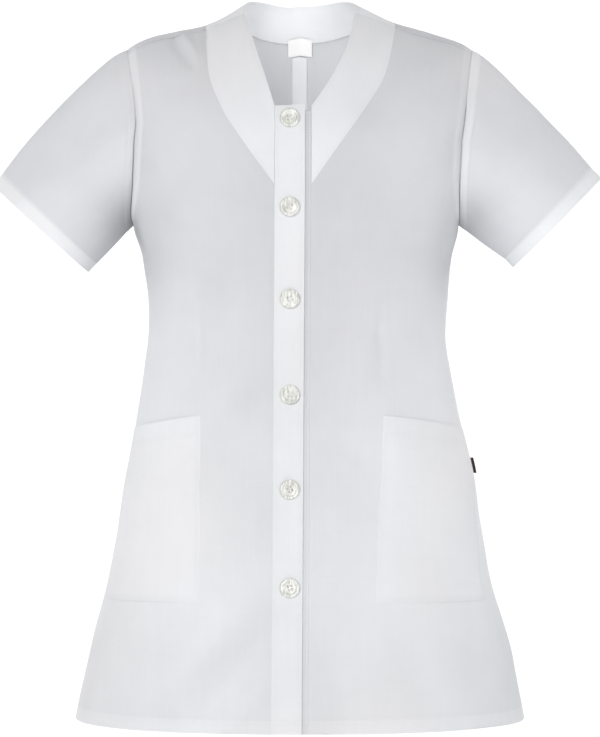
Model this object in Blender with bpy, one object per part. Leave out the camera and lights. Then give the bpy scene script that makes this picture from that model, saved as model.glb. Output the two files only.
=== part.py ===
"""Women's short-sleeved, button-through medical tunic, filled out and hollow.

Metres, +Z up, +X towards the wearer's left, +Y towards the back. The origin lies
midway between the two points where the shoulders meet the neck.

Every piece is a cloth wall on one body surface, which has two coordinates: turn, the
angle round the body from the centre front (0) over the side (90) to the centre back
(180), negative on the wearer's right, and run, the way up the front, over the shoulder
and down the back, 0 where the chest starts to lean back.
"""

import math
from collections import namedtuple

import bpy
from mathutils import Matrix, Vector

# Cloth
CLOTH = 0.0012            # one layer
DOUBLE = 0.0018           # two layers, as in the plackets and the collar band
HEM_CLOTH = 0.0024        # turned hems, thickened on the inside
HALF_SEAM = 0.00016       # how far each edge stands back from its seam line
LAYER_GAP = 0.0003        # between a panel and what lies on it

# Body
HEM_Z = -0.780
ARMPIT_Z = -0.238
CHEST_Z = -0.150          # the chest leans back to the shoulders above this
BLUNT = 2.2               # exponent of the level sections
ARCH_RUN = 0.160          # run from the chest to the shoulder ridge
FRONT_BEND = 1.8          # exponents of the arch over the shoulder
BACK_BEND = 2.4
SEAM_RUN = 0.86 * ARCH_RUN  # the shoulder seam lies in front of the ridge
ARM_SHARE = 0.55          # half depth of the armhole as a share of the body's

# Plackets and collar
PLACKET_RIGHT_X = (-0.027, -0.020, -0.012, -0.004, 0.0055)
PLACKET_LEFT_X = (-0.020, -0.012, -0.004, 0.0055, 0.012)
PLACKET_DRIFT = 0.0035    # sideways drift of both plackets down to the hem
PLACKET_RAISE = 0.0002    # the upper placket's face above the body surface
LAP_DEPTH = 0.0020        # the left front lies this far under the right one
LAP_END_X = 0.060         # where the left front is back on the body surface
COLLAR_FOOT_Z = -0.202
NECK_FOOT_Z = -0.117      # bottom of the V
COLLAR_X = 0.104          # collar band at the shoulder seam: outer and inner edge
NECK_X = 0.060
COLLAR_BACK_Y = 0.080     # the same two edges at the centre back
NECK_BACK_Y = 0.062
COLLAR_LIFT = 0.016       # how far the band stands up at the back of the neck
COLLAR_CELLS = 4

# Sleeves
CUFF_HALF_DEPTH = 0.050
SLEEVE_HEM = 0.012
HEM_STEP = 0.0005
SLEEVE_STARTS = (Vector((0.91, 0.0, -0.41)), Vector((0.71, 0.0, -0.70)))
SLEEVE_RINGS = (0.0, 0.08, 0.20, 0.34, 0.50, 0.66, 0.83, 1.0)

# Details
BUTTON_X = -0.0105
BUTTON_ZS = (-0.131, -0.226, -0.323, -0.4245, -0.525, -0.628)
BUTTON_RADIUS = 0.0105
BUTTON_STAND = 0.0005
BUTTON_SIDES = 20
BUTTON_PROFILE = (        # share of the radius and height, from the foot over the rim
    (0.72, 0.0),
    (1.00, 0.0009),
    (1.00, 0.0018),
    (0.88, 0.0027),
    (0.68, 0.0022),
    (0.60, 0.0015),
)
VENT_Z = -0.730           # side vents open below this
VENT_TURN = 0.6           # degrees that each vent edge has moved at the hem
DART_DEPTH = 0.0016
DART_TOP_Z = -0.300
DART_WAIST_Z = -0.375
DART_FOOT_Z = -0.450
LABEL_HALF_WIDTH = 0.014
LABEL_TOP_Z = -0.023
LABEL_FOOT_Z = -0.042
LABEL_DEPTH = 0.0024      # inside the body surface, clear of the collar band
LABEL_CLOTH = 0.0010
STRIP_X = (-0.009, 0.0, 0.008)
STRIP_TOP_Z = -0.0435
STRIP_FOOT_Z = -0.762
STRIP_LAST_STEP = 0.006
STRIP_GAP = 0.0006
TAG_TOP_Z = -0.495
TAG_FOOT_Z = -0.512
TAG_REACH = 0.0062
TAG_CLOTH = 0.0016

# Grids
DART_COLUMN = 6           # columns of a front: dart line, outer pocket edge, side
POCKET_COLUMN = 13
SIDE_COLUMN = 14
BACK_COLUMNS = 12         # columns of a back panel, the collar's corner at the seventh
CORNER_COLUMN = 7
ARMHOLE_ROWS = 5          # rows from the armpit to the chest
COLLAR_FOOT_ROW = 3       # of these, the one at the foot of the collar
ARCH_ROWS = 6
BACK_ARCH_ROWS = 7
POCKET_SET_FADE = 0.1     # height above the waist where the columns become even

Level = namedtuple("Level", "z half_width front_depth back_depth centre_x")
LEVELS = (
    Level(-0.780, 0.2460, 0.150, 0.150, 0.000),
    Level(-0.710, 0.2315, 0.142, 0.145, 0.001),
    Level(-0.645, 0.2135, 0.134, 0.139, -0.001),
    Level(-0.590, 0.2015, 0.127, 0.132, -0.001),
    Level(-0.508, 0.1880, 0.118, 0.121, -0.001),
    Level(-0.445, 0.1745, 0.110, 0.106, -0.003),
    Level(-0.398, 0.1670, 0.105, 0.093, -0.003),
    Level(-0.360, 0.1630, 0.104, 0.087, -0.003),
    Level(-0.321, 0.1645, 0.108, 0.089, -0.003),
    Level(-0.277, 0.1690, 0.115, 0.096, -0.004),
    Level(-0.238, 0.1785, 0.118, 0.102, -0.004),
    Level(-0.190, 0.1785, 0.114, 0.107, -0.003),
    Level(-0.150, 0.1785, 0.108, 0.108, -0.002),
    Level(-0.080, 0.1785, 0.099, 0.106, -0.002),
    Level(0.020, 0.1785, 0.092, 0.104, -0.002),
)

ArmholeSeam = namedtuple("ArmholeSeam", "z x")
ARMHOLE_SEAM = (
    ArmholeSeam(-0.238, 0.1785),
    ArmholeSeam(-0.190, 0.1765),
    ArmholeSeam(-0.142, 0.1765),
    ArmholeSeam(-0.100, 0.1800),
    ArmholeSeam(-0.048, 0.1885),
)

Ridge = namedtuple("Ridge", "x z")
SHOULDER_RIDGE = (
    Ridge(0.000, 0.015),
    Ridge(0.060, 0.000),
    Ridge(0.104, -0.017),
    Ridge(0.150, -0.031),
    Ridge(0.175, -0.040),
    Ridge(0.192, -0.050),
)

CollarEdge = namedtuple("CollarEdge", "z right left")
COLLAR_OUTER = (
    CollarEdge(-0.202, 0.027, 0.012),
    CollarEdge(-0.159, 0.058, 0.042),
    CollarEdge(-0.120, 0.083, 0.069),
    CollarEdge(-0.080, 0.098, 0.092),
    CollarEdge(-0.020, 0.104, 0.104),
)
COLLAR_INNER = (
    CollarEdge(-0.117, 0.027, 0.012),
    CollarEdge(-0.087, 0.036, 0.032),
    CollarEdge(-0.047, 0.049, 0.051),
    CollarEdge(-0.002, 0.060, 0.060),
)

# Upper and lower corner of each cuff in the front view, and the share of its length
# that the sleeve keeps its first direction.
Cuff = namedtuple("Cuff", "side top_x top_z foot_x foot_z lead")
CUFFS = (
    Cuff("right", -0.338, -0.195, -0.233, -0.291, 0.28),
    Cuff("left", 0.331, -0.188, 0.234, -0.286, 0.20),
)

# Distance of the dart line from the centre; it is the pocket's inner edge too.
DartLine = namedtuple("DartLine", "z right left")
DART_LINE = (
    DartLine(-0.780, 0.128, 0.092),
    DartLine(-0.645, 0.106, 0.079),
    DartLine(-0.447, 0.106, 0.088),
    DartLine(-0.360, 0.107, 0.085),
    DartLine(-0.300, 0.108, 0.085),
)

# Degrees from the side seam forward to the pocket's outer edge.
PocketSet = namedtuple("PocketSet", "z right left")
POCKET_SET = (
    PocketSet(-0.780, 7.0, 12.0),
    PocketSet(-0.648, 9.0, 20.0),
    PocketSet(-0.550, 6.0, 11.0),
    PocketSet(-0.467, 3.0, 3.0),
    PocketSet(-0.360, 6.0, 6.0),
)

# Rows of the fronts and backs: height at the centre, height at the side, and the
# number of steps to the next one.
Station = namedtuple("Station", "centre_z side_z steps")
STATIONS = (
    Station(HEM_Z, HEM_Z, 1),
    Station(-0.7660, -0.7660, 1),
    Station(-0.7655, -0.7655, 1),
    Station(VENT_Z, VENT_Z, 3),
    Station(-0.645, -0.648, 8),
    Station(-0.447, -0.467, 4),
    Station(-0.360, -0.360, 2),
    Station(DART_TOP_Z, DART_TOP_Z, 3),
    Station(ARMPIT_Z, ARMPIT_Z, 0),
)
HEM_ROWS = 2              # the rows whose cloth is doubled
POCKET_FOOT_ROW = 6
POCKET_TOP_ROW = 14

# Soft folds: both ends as (x, z), reach and height, outwards positive.
Fold = namedtuple("Fold", "x0 z0 x1 z1 reach height back")
FOLDS = (
    Fold(-0.048, -0.655, -0.104, -0.730, 0.020, 0.0035, False),
    Fold(-0.058, -0.690, -0.120, -0.762, 0.020, -0.0030, False),
    Fold(-0.045, -0.410, -0.092, -0.440, 0.015, -0.0022, False),
    Fold(0.080, -0.560, 0.045, -0.640, 0.020, -0.0028, False),
    Fold(0.150, -0.690, 0.170, -0.745, 0.022, 0.0035, False),
    Fold(0.152, -0.090, 0.148, -0.170, 0.026, 0.0024, False),
    Fold(-0.152, -0.090, -0.148, -0.180, 0.026, 0.0024, False),
    Fold(0.060, -0.350, 0.110, -0.395, 0.024, -0.0028, True),
    Fold(-0.055, -0.365, -0.105, -0.400, 0.024, -0.0026, True),
    Fold(0.085, -0.560, 0.105, -0.730, 0.026, 0.0050, True),
    Fold(-0.075, -0.590, -0.095, -0.735, 0.026, 0.0045, True),
    Fold(0.138, -0.120, 0.124, -0.220, 0.028, -0.0026, True),
    Fold(-0.138, -0.120, -0.122, -0.210, 0.028, -0.0024, True),
)

RIGHT = -1.0
LEFT = 1.0
SKEWED = 0.85             # cells take their other diagonal where it is this much shorter
CORE_Z = CHEST_Z - 0.05   # normals point away from a core that ends here
TINY_TURN = 0.2
TINY_RUN = 0.0005
SETTLING = 12             # rounds in which a point finds its height
HALVINGS = 40
HAIR = 1e-6               # slack where two heights are compared
SHARP_EDGE = 40.0         # degrees above which an edge is shaded sharp


def mix(a, b, share):
    return a + (b - a) * share


def ease(share):
    """0 to 1 with level ends."""
    share = min(max(share, 0.0), 1.0)
    return share * share * (3.0 - 2.0 * share)


def signed_power(value, exponent):
    return math.copysign(abs(value) ** exponent, value)


def smooth_reader(table, column, key="z"):
    """Reads one column of a table along a smooth curve that never overshoots it."""
    keys = [getattr(row, key) for row in table]
    values = [getattr(row, column) for row in table]
    steps = [(b - a) / (q - p) for p, q, a, b in zip(keys, keys[1:], values, values[1:])]
    inner = [0.0 if a * b <= 0.0 else 2.0 * a * b / (a + b) for a, b in zip(steps, steps[1:])]
    slopes = [steps[0]] + inner + [steps[-1]]

    def read(at):
        at = min(max(at, keys[0]), keys[-1])
        i = next(k for k in range(len(steps)) if at <= keys[k + 1])
        width = keys[i + 1] - keys[i]
        t = (at - keys[i]) / width
        bow = t * (1.0 - t) * width * (slopes[i] * (1.0 - t) - slopes[i + 1] * t)
        bow -= t * (1.0 - t) * (1.0 - 2.0 * t) * (values[i + 1] - values[i])
        return mix(values[i], values[i + 1], t) + bow

    return read


half_width = smooth_reader(LEVELS, "half_width")
front_depth = smooth_reader(LEVELS, "front_depth")
back_depth = smooth_reader(LEVELS, "back_depth")
centre_x = smooth_reader(LEVELS, "centre_x")
armhole_x = smooth_reader(ARMHOLE_SEAM, "x")
ridge_z = smooth_reader(SHOULDER_RIDGE, "z", "x")
collar_outer = {RIGHT: smooth_reader(COLLAR_OUTER, "right"), LEFT: smooth_reader(COLLAR_OUTER, "left")}
collar_inner = {RIGHT: smooth_reader(COLLAR_INNER, "right"), LEFT: smooth_reader(COLLAR_INNER, "left")}
dart_line = {RIGHT: smooth_reader(DART_LINE, "right"), LEFT: smooth_reader(DART_LINE, "left")}
pocket_set = {RIGHT: smooth_reader(POCKET_SET, "right"), LEFT: smooth_reader(POCKET_SET, "left")}


def armhole_share(z):
    """Half depth of the armhole at a level below the chest, as a share of the body's."""
    height = (CHEST_Z - z) / (CHEST_Z - ARMPIT_Z)
    return ARM_SHARE * math.sqrt(max(1.0 - height * height, 0.0))


def level_width(z):
    """Half width of a level section; above the armpit it runs on into the sleeve."""
    if z <= ARMPIT_Z:
        return half_width(z)
    z = min(z, CHEST_Z)
    return armhole_x(z) / (1.0 - armhole_share(z) ** BLUNT) ** (1.0 / BLUNT)


def body_point(turn, run):
    """The point of the body surface at a turn in degrees and a run in metres."""
    angle = math.radians(abs(turn))
    across = math.copysign(1.0, turn) * signed_power(math.sin(angle), 2.0 / BLUNT)
    along = abs(math.cos(angle)) ** (2.0 / BLUNT)
    if run < 0.0 or run > 2.0 * ARCH_RUN:
        z = CHEST_Z + run if run < 0.0 else CHEST_Z - (run - 2.0 * ARCH_RUN)
        depth = -front_depth(z) if math.cos(angle) > 0.0 else back_depth(z)
        return Vector((centre_x(z) + level_width(z) * across, depth * along, z))
    in_front = run < ARCH_RUN
    bend = FRONT_BEND if in_front else BACK_BEND
    lean = 0.5 * math.pi * (run if in_front else 2.0 * ARCH_RUN - run) / ARCH_RUN
    x = centre_x(CHEST_Z) + level_width(CHEST_Z) * across
    z = CHEST_Z + (ridge_z(abs(x)) - CHEST_Z) * math.sin(lean) ** (2.0 / bend)
    depth = -front_depth(z) if in_front else back_depth(z)
    return Vector((x, depth * along * abs(math.cos(lean)) ** (2.0 / bend), z))


def body_normal(turn, run):
    """The outward normal of the body surface."""
    across = body_point(turn + TINY_TURN, run) - body_point(turn - TINY_TURN, run)
    upward = body_point(turn, run + TINY_RUN) - body_point(turn, run - TINY_RUN)
    normal = across.cross(upward).normalized()
    point = body_point(turn, run)
    core = Vector((0.5 * point.x, 0.0, min(point.z, CORE_Z)))
    return normal if normal.dot(point - core) > 0.0 else -normal


def turn_at(x, run, in_front=True):
    """The turn at which the surface has this x."""
    z = CHEST_Z
    if run < 0.0:
        z = CHEST_Z + run
    elif run > 2.0 * ARCH_RUN:
        z = CHEST_Z - (run - 2.0 * ARCH_RUN)
    offset = x - centre_x(z)
    turn = math.degrees(math.asin(min(abs(offset) / level_width(z), 1.0) ** (0.5 * BLUNT)))
    return math.copysign(turn if in_front else 180.0 - turn, offset)


def run_at(x, z):
    """The run on the front at which the surface has this x and z."""
    if z <= CHEST_Z:
        return z - CHEST_Z
    rise = (z - CHEST_Z) / (ridge_z(abs(x)) - CHEST_Z)
    return ARCH_RUN * math.asin(min(rise, 1.0) ** (0.5 * FRONT_BEND)) / (0.5 * math.pi)


def back_run_at(x, z):
    """The run on the back at which the surface has this x and z."""
    if z <= CHEST_Z:
        return 2.0 * ARCH_RUN + CHEST_Z - z
    rise = (z - CHEST_Z) / (ridge_z(abs(x)) - CHEST_Z)
    lean = math.asin(min(rise, 1.0) ** (0.5 * BACK_BEND)) / (0.5 * math.pi)
    return (2.0 - lean) * ARCH_RUN


def run_at_depth(x, y):
    """The run over the shoulder at which the surface has this x and y."""
    low, high = SEAM_RUN, 2.0 * ARCH_RUN
    for _ in range(HALVINGS):
        middle = 0.5 * (low + high)
        if body_point(turn_at(x, middle), middle).y < y:
            low = middle
        else:
            high = middle
    return low


def edge_x(read_x, run):
    """Follows an edge given by its height: its distance from the centre at this run."""
    if run <= 0.0:
        return read_x(CHEST_Z + run)
    x = read_x(CHEST_Z)
    for _ in range(SETTLING):
        x = read_x(body_point(turn_at(x, run), run).z)
    return x


def fold_height(point):
    """How far the soft folds lift the cloth here."""
    total = 0.0
    for fold in FOLDS:
        if fold.back != (point.y > 0.0):
            continue
        start = Vector((fold.x0, fold.z0))
        line = Vector((fold.x1, fold.z1)) - start
        here = Vector((point.x, point.z)) - start
        share = min(max(here.dot(line) / line.length_squared, 0.0), 1.0)
        gap = (here - line * share).length / fold.reach
        total += fold.height * math.exp(-gap * gap)
    return total


def lap_depth(x):
    """How far the left front lies under the right one."""
    return LAP_DEPTH * ease((LAP_END_X - x) / (LAP_END_X - PLACKET_LEFT_X[-1]))


Knot = namedtuple("Knot", "point normal")


def knot(turn, run, out=0.0, lap=False):
    """A point of a panel, with its normal, moved out of the body surface."""
    point = body_point(turn, run)
    normal = body_normal(turn, run)
    height = out + fold_height(point) - (lap_depth(point.x) if lap else 0.0)
    return Knot(point + normal * height, normal)


def moved(grid, out):
    """The same grid, moved outwards along its normals."""
    return [[Knot(k.point + k.normal * out, k.normal) for k in row] for row in grid]


# ---- walls -------------------------------------------------------------------------

def inward(before, after, here, inside):
    """The direction in the cloth, square to its edge, from an edge towards the inside."""
    tangent = (after.point - before.point).normalized()
    way = inside.point - here.point
    way -= tangent * way.dot(tangent)
    way -= here.normal * way.dot(here.normal)
    return way.normalized()


def edge_shifts(grid, ring=False):
    """For each knot on an edge, the way that draws it back from its seam line."""
    last_row, last_column = len(grid) - 1, len(grid[0]) - 1
    shifts = {}
    for i, row in enumerate(grid):
        for j, here in enumerate(row):
            shift = Vector()
            if i in (0, last_row):
                before = row[j - 1] if ring else row[max(j - 1, 0)]
                after = row[(j + 1) % len(row)] if ring else row[min(j + 1, last_column)]
                inside = grid[1 if i == 0 else last_row - 1][j]
                shift += inward(before, after, here, inside)
            if j in (0, last_column) and not ring:
                before = grid[max(i - 1, 0)][j]
                after = grid[min(i + 1, last_row)][j]
                inside = row[1 if j == 0 else last_column - 1]
                shift += inward(before, after, here, inside)
            shifts[i, j] = shift * HALF_SEAM
    return shifts


def wall_object(name, outer, inner, material, ring=False):
    """Closes two layers of points into one wall; skewed cells take their short diagonal."""
    rows, columns = len(outer), len(outer[0])
    cells = columns if ring else columns - 1
    vertices = [p for row in outer for p in row] + [p for row in inner for p in row]
    offset = rows * columns

    def at(i, j, layer):
        return layer * offset + i * columns + j % columns

    faces = []
    for i in range(rows - 1):
        for j in range(cells):
            a, b, c, d = (at(i, j, 0), at(i, j + 1, 0), at(i + 1, j + 1, 0), at(i + 1, j, 0))
            long_way = (vertices[a] - vertices[c]).length
            short_way = (vertices[b] - vertices[d]).length
            pair = [(a, b, d), (b, c, d)] if short_way < SKEWED * long_way else [(a, b, c), (a, c, d)]
            faces += pair
            faces += [(r + offset, q + offset, p + offset) for p, q, r in pair]
    rim = [((0, j), (0, j + 1)) for j in range(cells)]
    rim += [((rows - 1, j + 1), (rows - 1, j)) for j in range(cells)]
    if not ring:
        rim += [((i + 1, 0), (i, 0)) for i in range(rows - 1)]
        rim += [((i, columns - 1), (i + 1, columns - 1)) for i in range(rows - 1)]
    for (i, j), (k, m) in rim:
        a, b, c, d = at(i, j, 0), at(k, m, 0), at(k, m, 1), at(i, j, 1)
        faces += [(b, a, d), (b, d, c)]
    return mesh_object(name, vertices, faces, material)


def mesh_object(name, vertices, faces, material):
    """Makes an object of a closed shell and turns its faces outwards."""
    volume = sum(vertices[a].dot(vertices[b].cross(vertices[c])) for a, b, c in faces)
    if volume < 0.0:
        faces = [tuple(reversed(face)) for face in faces]
    mesh = bpy.data.meshes.new(name)
    mesh.from_pydata(vertices, [], faces)
    mesh.materials.append(material)
    mesh.shade_smooth()
    mesh.set_sharp_from_angle(angle=math.radians(SHARP_EDGE))
    thing = bpy.data.objects.new(name, mesh)
    bpy.context.collection.objects.link(thing)
    return thing


def panel(name, grid, material, thickness=CLOTH, hem_rows=0):
    """A wall on a grid of knots, its edges drawn back from the seams."""
    shifts = edge_shifts(grid)
    outer = [[k.point + shifts[i, j] for j, k in enumerate(row)] for i, row in enumerate(grid)]
    inner = []
    for i, row in enumerate(grid):
        depth = HEM_CLOTH if i < hem_rows else thickness
        inner.append([k.point + shifts[i, j] - k.normal * depth for j, k in enumerate(row)])
    return wall_object(name, outer, inner, material)


# ---- the body's grids --------------------------------------------------------------

def level_rows():
    """Heights at the centre and at the side, from the hem to the chest."""
    rows = []
    for here, above in zip(STATIONS, STATIONS[1:]):
        for step in range(here.steps):
            share = step / here.steps
            rows.append((mix(here.centre_z, above.centre_z, share), mix(here.side_z, above.side_z, share)))
    for step in range(ARMHOLE_ROWS + 1):
        side_z = CHEST_Z - (CHEST_Z - ARMPIT_Z) * math.cos(0.5 * math.pi * step / ARMHOLE_ROWS)
        if step <= COLLAR_FOOT_ROW:
            centre_z = mix(ARMPIT_Z, COLLAR_FOOT_Z, step / COLLAR_FOOT_ROW)
        else:
            share = (step - COLLAR_FOOT_ROW) / (ARMHOLE_ROWS - COLLAR_FOOT_ROW)
            centre_z = mix(COLLAR_FOOT_Z, CHEST_Z, share)
        rows.append((centre_z, side_z))
    return rows


def outer_turn(z, vent_way):
    """The turn of the side seam, and above the armpit of the armhole."""
    if z <= ARMPIT_Z:
        opening = max(VENT_Z - z, 0.0) / (VENT_Z - HEM_Z)
        return 90.0 + vent_way * VENT_TURN * opening
    return math.degrees(math.acos(armhole_share(z) ** (0.5 * BLUNT)))


def placket_drift(z):
    return -PLACKET_DRIFT * max(COLLAR_FOOT_Z - z, 0.0) / (COLLAR_FOOT_Z - HEM_Z)


def front_inner_x(side, run):
    """Distance of a front's inner edge from the centre: placket seam, then collar seam."""
    z = CHEST_Z + run
    if z <= COLLAR_FOOT_Z:
        placket = PLACKET_RIGHT_X[0] if side == RIGHT else PLACKET_LEFT_X[-1]
        return abs(placket + placket_drift(z))
    return edge_x(collar_outer[side], run)


def dart_turn(side, run, inner, outer):
    """The turn of the dart line; above the bust it divides the panel evenly."""
    even = mix(inner, outer, DART_COLUMN / SIDE_COLUMN)
    z = CHEST_Z + min(run, 0.0)
    drawn = abs(turn_at(side * dart_line[side](z), run))
    return mix(drawn, even, ease((z - DART_TOP_Z) / (CHEST_Z - DART_TOP_Z)))


def dart_crease(z, column):
    if column != DART_COLUMN or z > DART_TOP_Z or z < DART_FOOT_Z:
        return 0.0
    end = DART_TOP_Z if z > DART_WAIST_Z else DART_FOOT_Z
    return -DART_DEPTH * ease((end - z) / (end - DART_WAIST_Z))


def front_row(side, inner_run, outer_run, outer):
    """One row of a front, centre to side, as pairs of turn and run."""
    inner = abs(turn_at(side * front_inner_x(side, inner_run), inner_run))
    dart = dart_turn(side, inner_run, inner, outer)
    even = (outer - dart) / (SIDE_COLUMN - DART_COLUMN)
    z = CHEST_Z + min(outer_run, 0.0)
    waist_z = POCKET_SET[-1].z
    step = mix(pocket_set[side](z), even, ease((z - waist_z) / POCKET_SET_FADE))
    row = []
    for column in range(SIDE_COLUMN + 1):
        share = max(column - DART_COLUMN, 0) / (SIDE_COLUMN - DART_COLUMN)
        if column <= DART_COLUMN:
            turn = mix(inner, dart, column / DART_COLUMN)
        elif column <= POCKET_COLUMN:
            turn = mix(dart, outer - step, (column - DART_COLUMN) / (POCKET_COLUMN - DART_COLUMN))
        else:
            turn = outer
        row.append((side * turn, mix(inner_run, outer_run, share)))
    return row


def front_grid(side):
    rows = []
    for centre_z, side_z in level_rows():
        rows.append(front_row(side, centre_z - CHEST_Z, side_z - CHEST_Z, outer_turn(side_z, -1.0)))
    for step in range(1, ARCH_ROWS + 1):
        run = SEAM_RUN * step / ARCH_ROWS
        outer = abs(turn_at(side * edge_x(armhole_x, run), run))
        rows.append(front_row(side, run, run, outer))
    lap = side == LEFT
    grid = []
    for row in rows:
        line = []
        for column, (turn, run) in enumerate(row):
            crease = dart_crease(CHEST_Z + run, column) if run < 0.0 else 0.0
            line.append(knot(turn, run, crease, lap))
        grid.append(line)
    return grid


def collar_corner(share, half_x, back_y):
    """A point of a neckline, from the centre back (0) to the shoulder seam (1)."""
    angle = 0.5 * math.pi * share
    seam_y = body_point(turn_at(half_x, SEAM_RUN), SEAM_RUN).y
    x = half_x * math.sin(angle)
    if share >= 1.0:
        return half_x, SEAM_RUN
    return x, run_at_depth(x, mix(seam_y, back_y, math.cos(angle)))


def back_top(column):
    """The upper edge of a back panel: round the collar, then along the shoulder."""
    if column <= CORNER_COLUMN:
        return collar_corner(column / CORNER_COLUMN, COLLAR_X, COLLAR_BACK_Y)
    share = (column - CORNER_COLUMN) / (BACK_COLUMNS - CORNER_COLUMN)
    seam_turn = mix(turn_at(COLLAR_X, SEAM_RUN), turn_at(edge_x(armhole_x, SEAM_RUN), SEAM_RUN), share)
    return body_point(seam_turn, SEAM_RUN).x, SEAM_RUN


def back_grid(side):
    rows = []
    chest = []
    for centre_z, side_z in level_rows():
        outer = outer_turn(side_z, 1.0)
        outer = outer if side_z <= ARMPIT_Z else 180.0 - outer
        row = []
        for column in range(BACK_COLUMNS + 1):
            share = column / BACK_COLUMNS
            z = mix(centre_z, side_z, share)
            row.append((side * mix(180.0, outer, share), 2.0 * ARCH_RUN + CHEST_Z - z))
        rows.append(row)
        chest = row
    top = [back_top(column) for column in range(BACK_COLUMNS + 1)]
    chest_x = [body_point(turn, run).x for turn, run in chest]
    for step in range(1, BACK_ARCH_ROWS + 1):
        share = step / BACK_ARCH_ROWS
        row = []
        for column, (top_x, top_run) in enumerate(top):
            run = mix(2.0 * ARCH_RUN, top_run, share)
            x = mix(chest_x[column], side * top_x, share)
            if column == BACK_COLUMNS:
                x = side * edge_x(armhole_x, run)
            row.append((turn_at(x, run, False), run))
        rows.append(row)
    return [[knot(turn, run) for turn, run in row] for row in rows]


# ---- pieces ------------------------------------------------------------------------

def placket_runs():
    """Rows of the plackets: those of the fronts, then the collar band's end."""
    foot = run_at(PLACKET_RIGHT_X[0], NECK_FOOT_Z)
    level = [centre_z for centre_z, _ in level_rows() if centre_z < COLLAR_FOOT_Z - HAIR]
    start = COLLAR_FOOT_Z - CHEST_Z
    return [z - CHEST_Z for z in level] + [
        mix(start, foot, step / COLLAR_CELLS) for step in range(COLLAR_CELLS + 1)]


def placket_grid(lines, out):
    grid = []
    for run in placket_runs():
        drift = placket_drift(CHEST_Z + min(run, 0.0))
        grid.append([knot(turn_at(x + drift, run), run, out) for x in lines])
    return grid


def collar_front_grid(side):
    """The band from the placket (first row) up to the shoulder seam."""
    outer_runs = [z - CHEST_Z for z, _ in level_rows() if z > COLLAR_FOOT_Z - HAIR]
    outer_runs += [SEAM_RUN * step / ARCH_ROWS for step in range(1, ARCH_ROWS + 1)]
    foot = run_at(PLACKET_RIGHT_X[0], NECK_FOOT_Z)
    grid = []
    for row, outer_run in enumerate(outer_runs):
        share = row / (len(outer_runs) - 1)
        inner_run = mix(foot, SEAM_RUN, share)
        outer_x = front_inner_x(side, outer_run)
        inner_x = outer_x if row == 0 else edge_x(collar_inner[side], inner_run)
        if row == len(outer_runs) - 1:
            outer_x, inner_x = COLLAR_X, NECK_X
        line = []
        for cell in range(COLLAR_CELLS + 1):
            part = cell / COLLAR_CELLS
            run = mix(outer_run, inner_run, part)
            line.append(knot(turn_at(side * mix(outer_x, inner_x, part), run), run, 0.0, side == LEFT))
        grid.append(line)
    return grid


def collar_back_grid():
    """The band round the back neck, from the right shoulder seam to the left one."""
    grid = []
    for column in range(-CORNER_COLUMN, CORNER_COLUMN + 1):
        share = abs(column) / CORNER_COLUMN
        side = RIGHT if column < 0 else LEFT
        outer_x, outer_run = collar_corner(share, COLLAR_X, COLLAR_BACK_Y)
        inner_x, inner_run = collar_corner(share, NECK_X, NECK_BACK_Y)
        line = []
        for cell in range(COLLAR_CELLS + 1):
            part = cell / COLLAR_CELLS
            run = mix(outer_run, inner_run, part)
            here = knot(turn_at(side * mix(outer_x, inner_x, part), run, False), run)
            lift = COLLAR_LIFT * math.cos(0.5 * math.pi * share) * part * part
            line.append(Knot(here.point + Vector((0.0, 0.0, lift)), here.normal))
        grid.append(line)
    return grid


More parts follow.
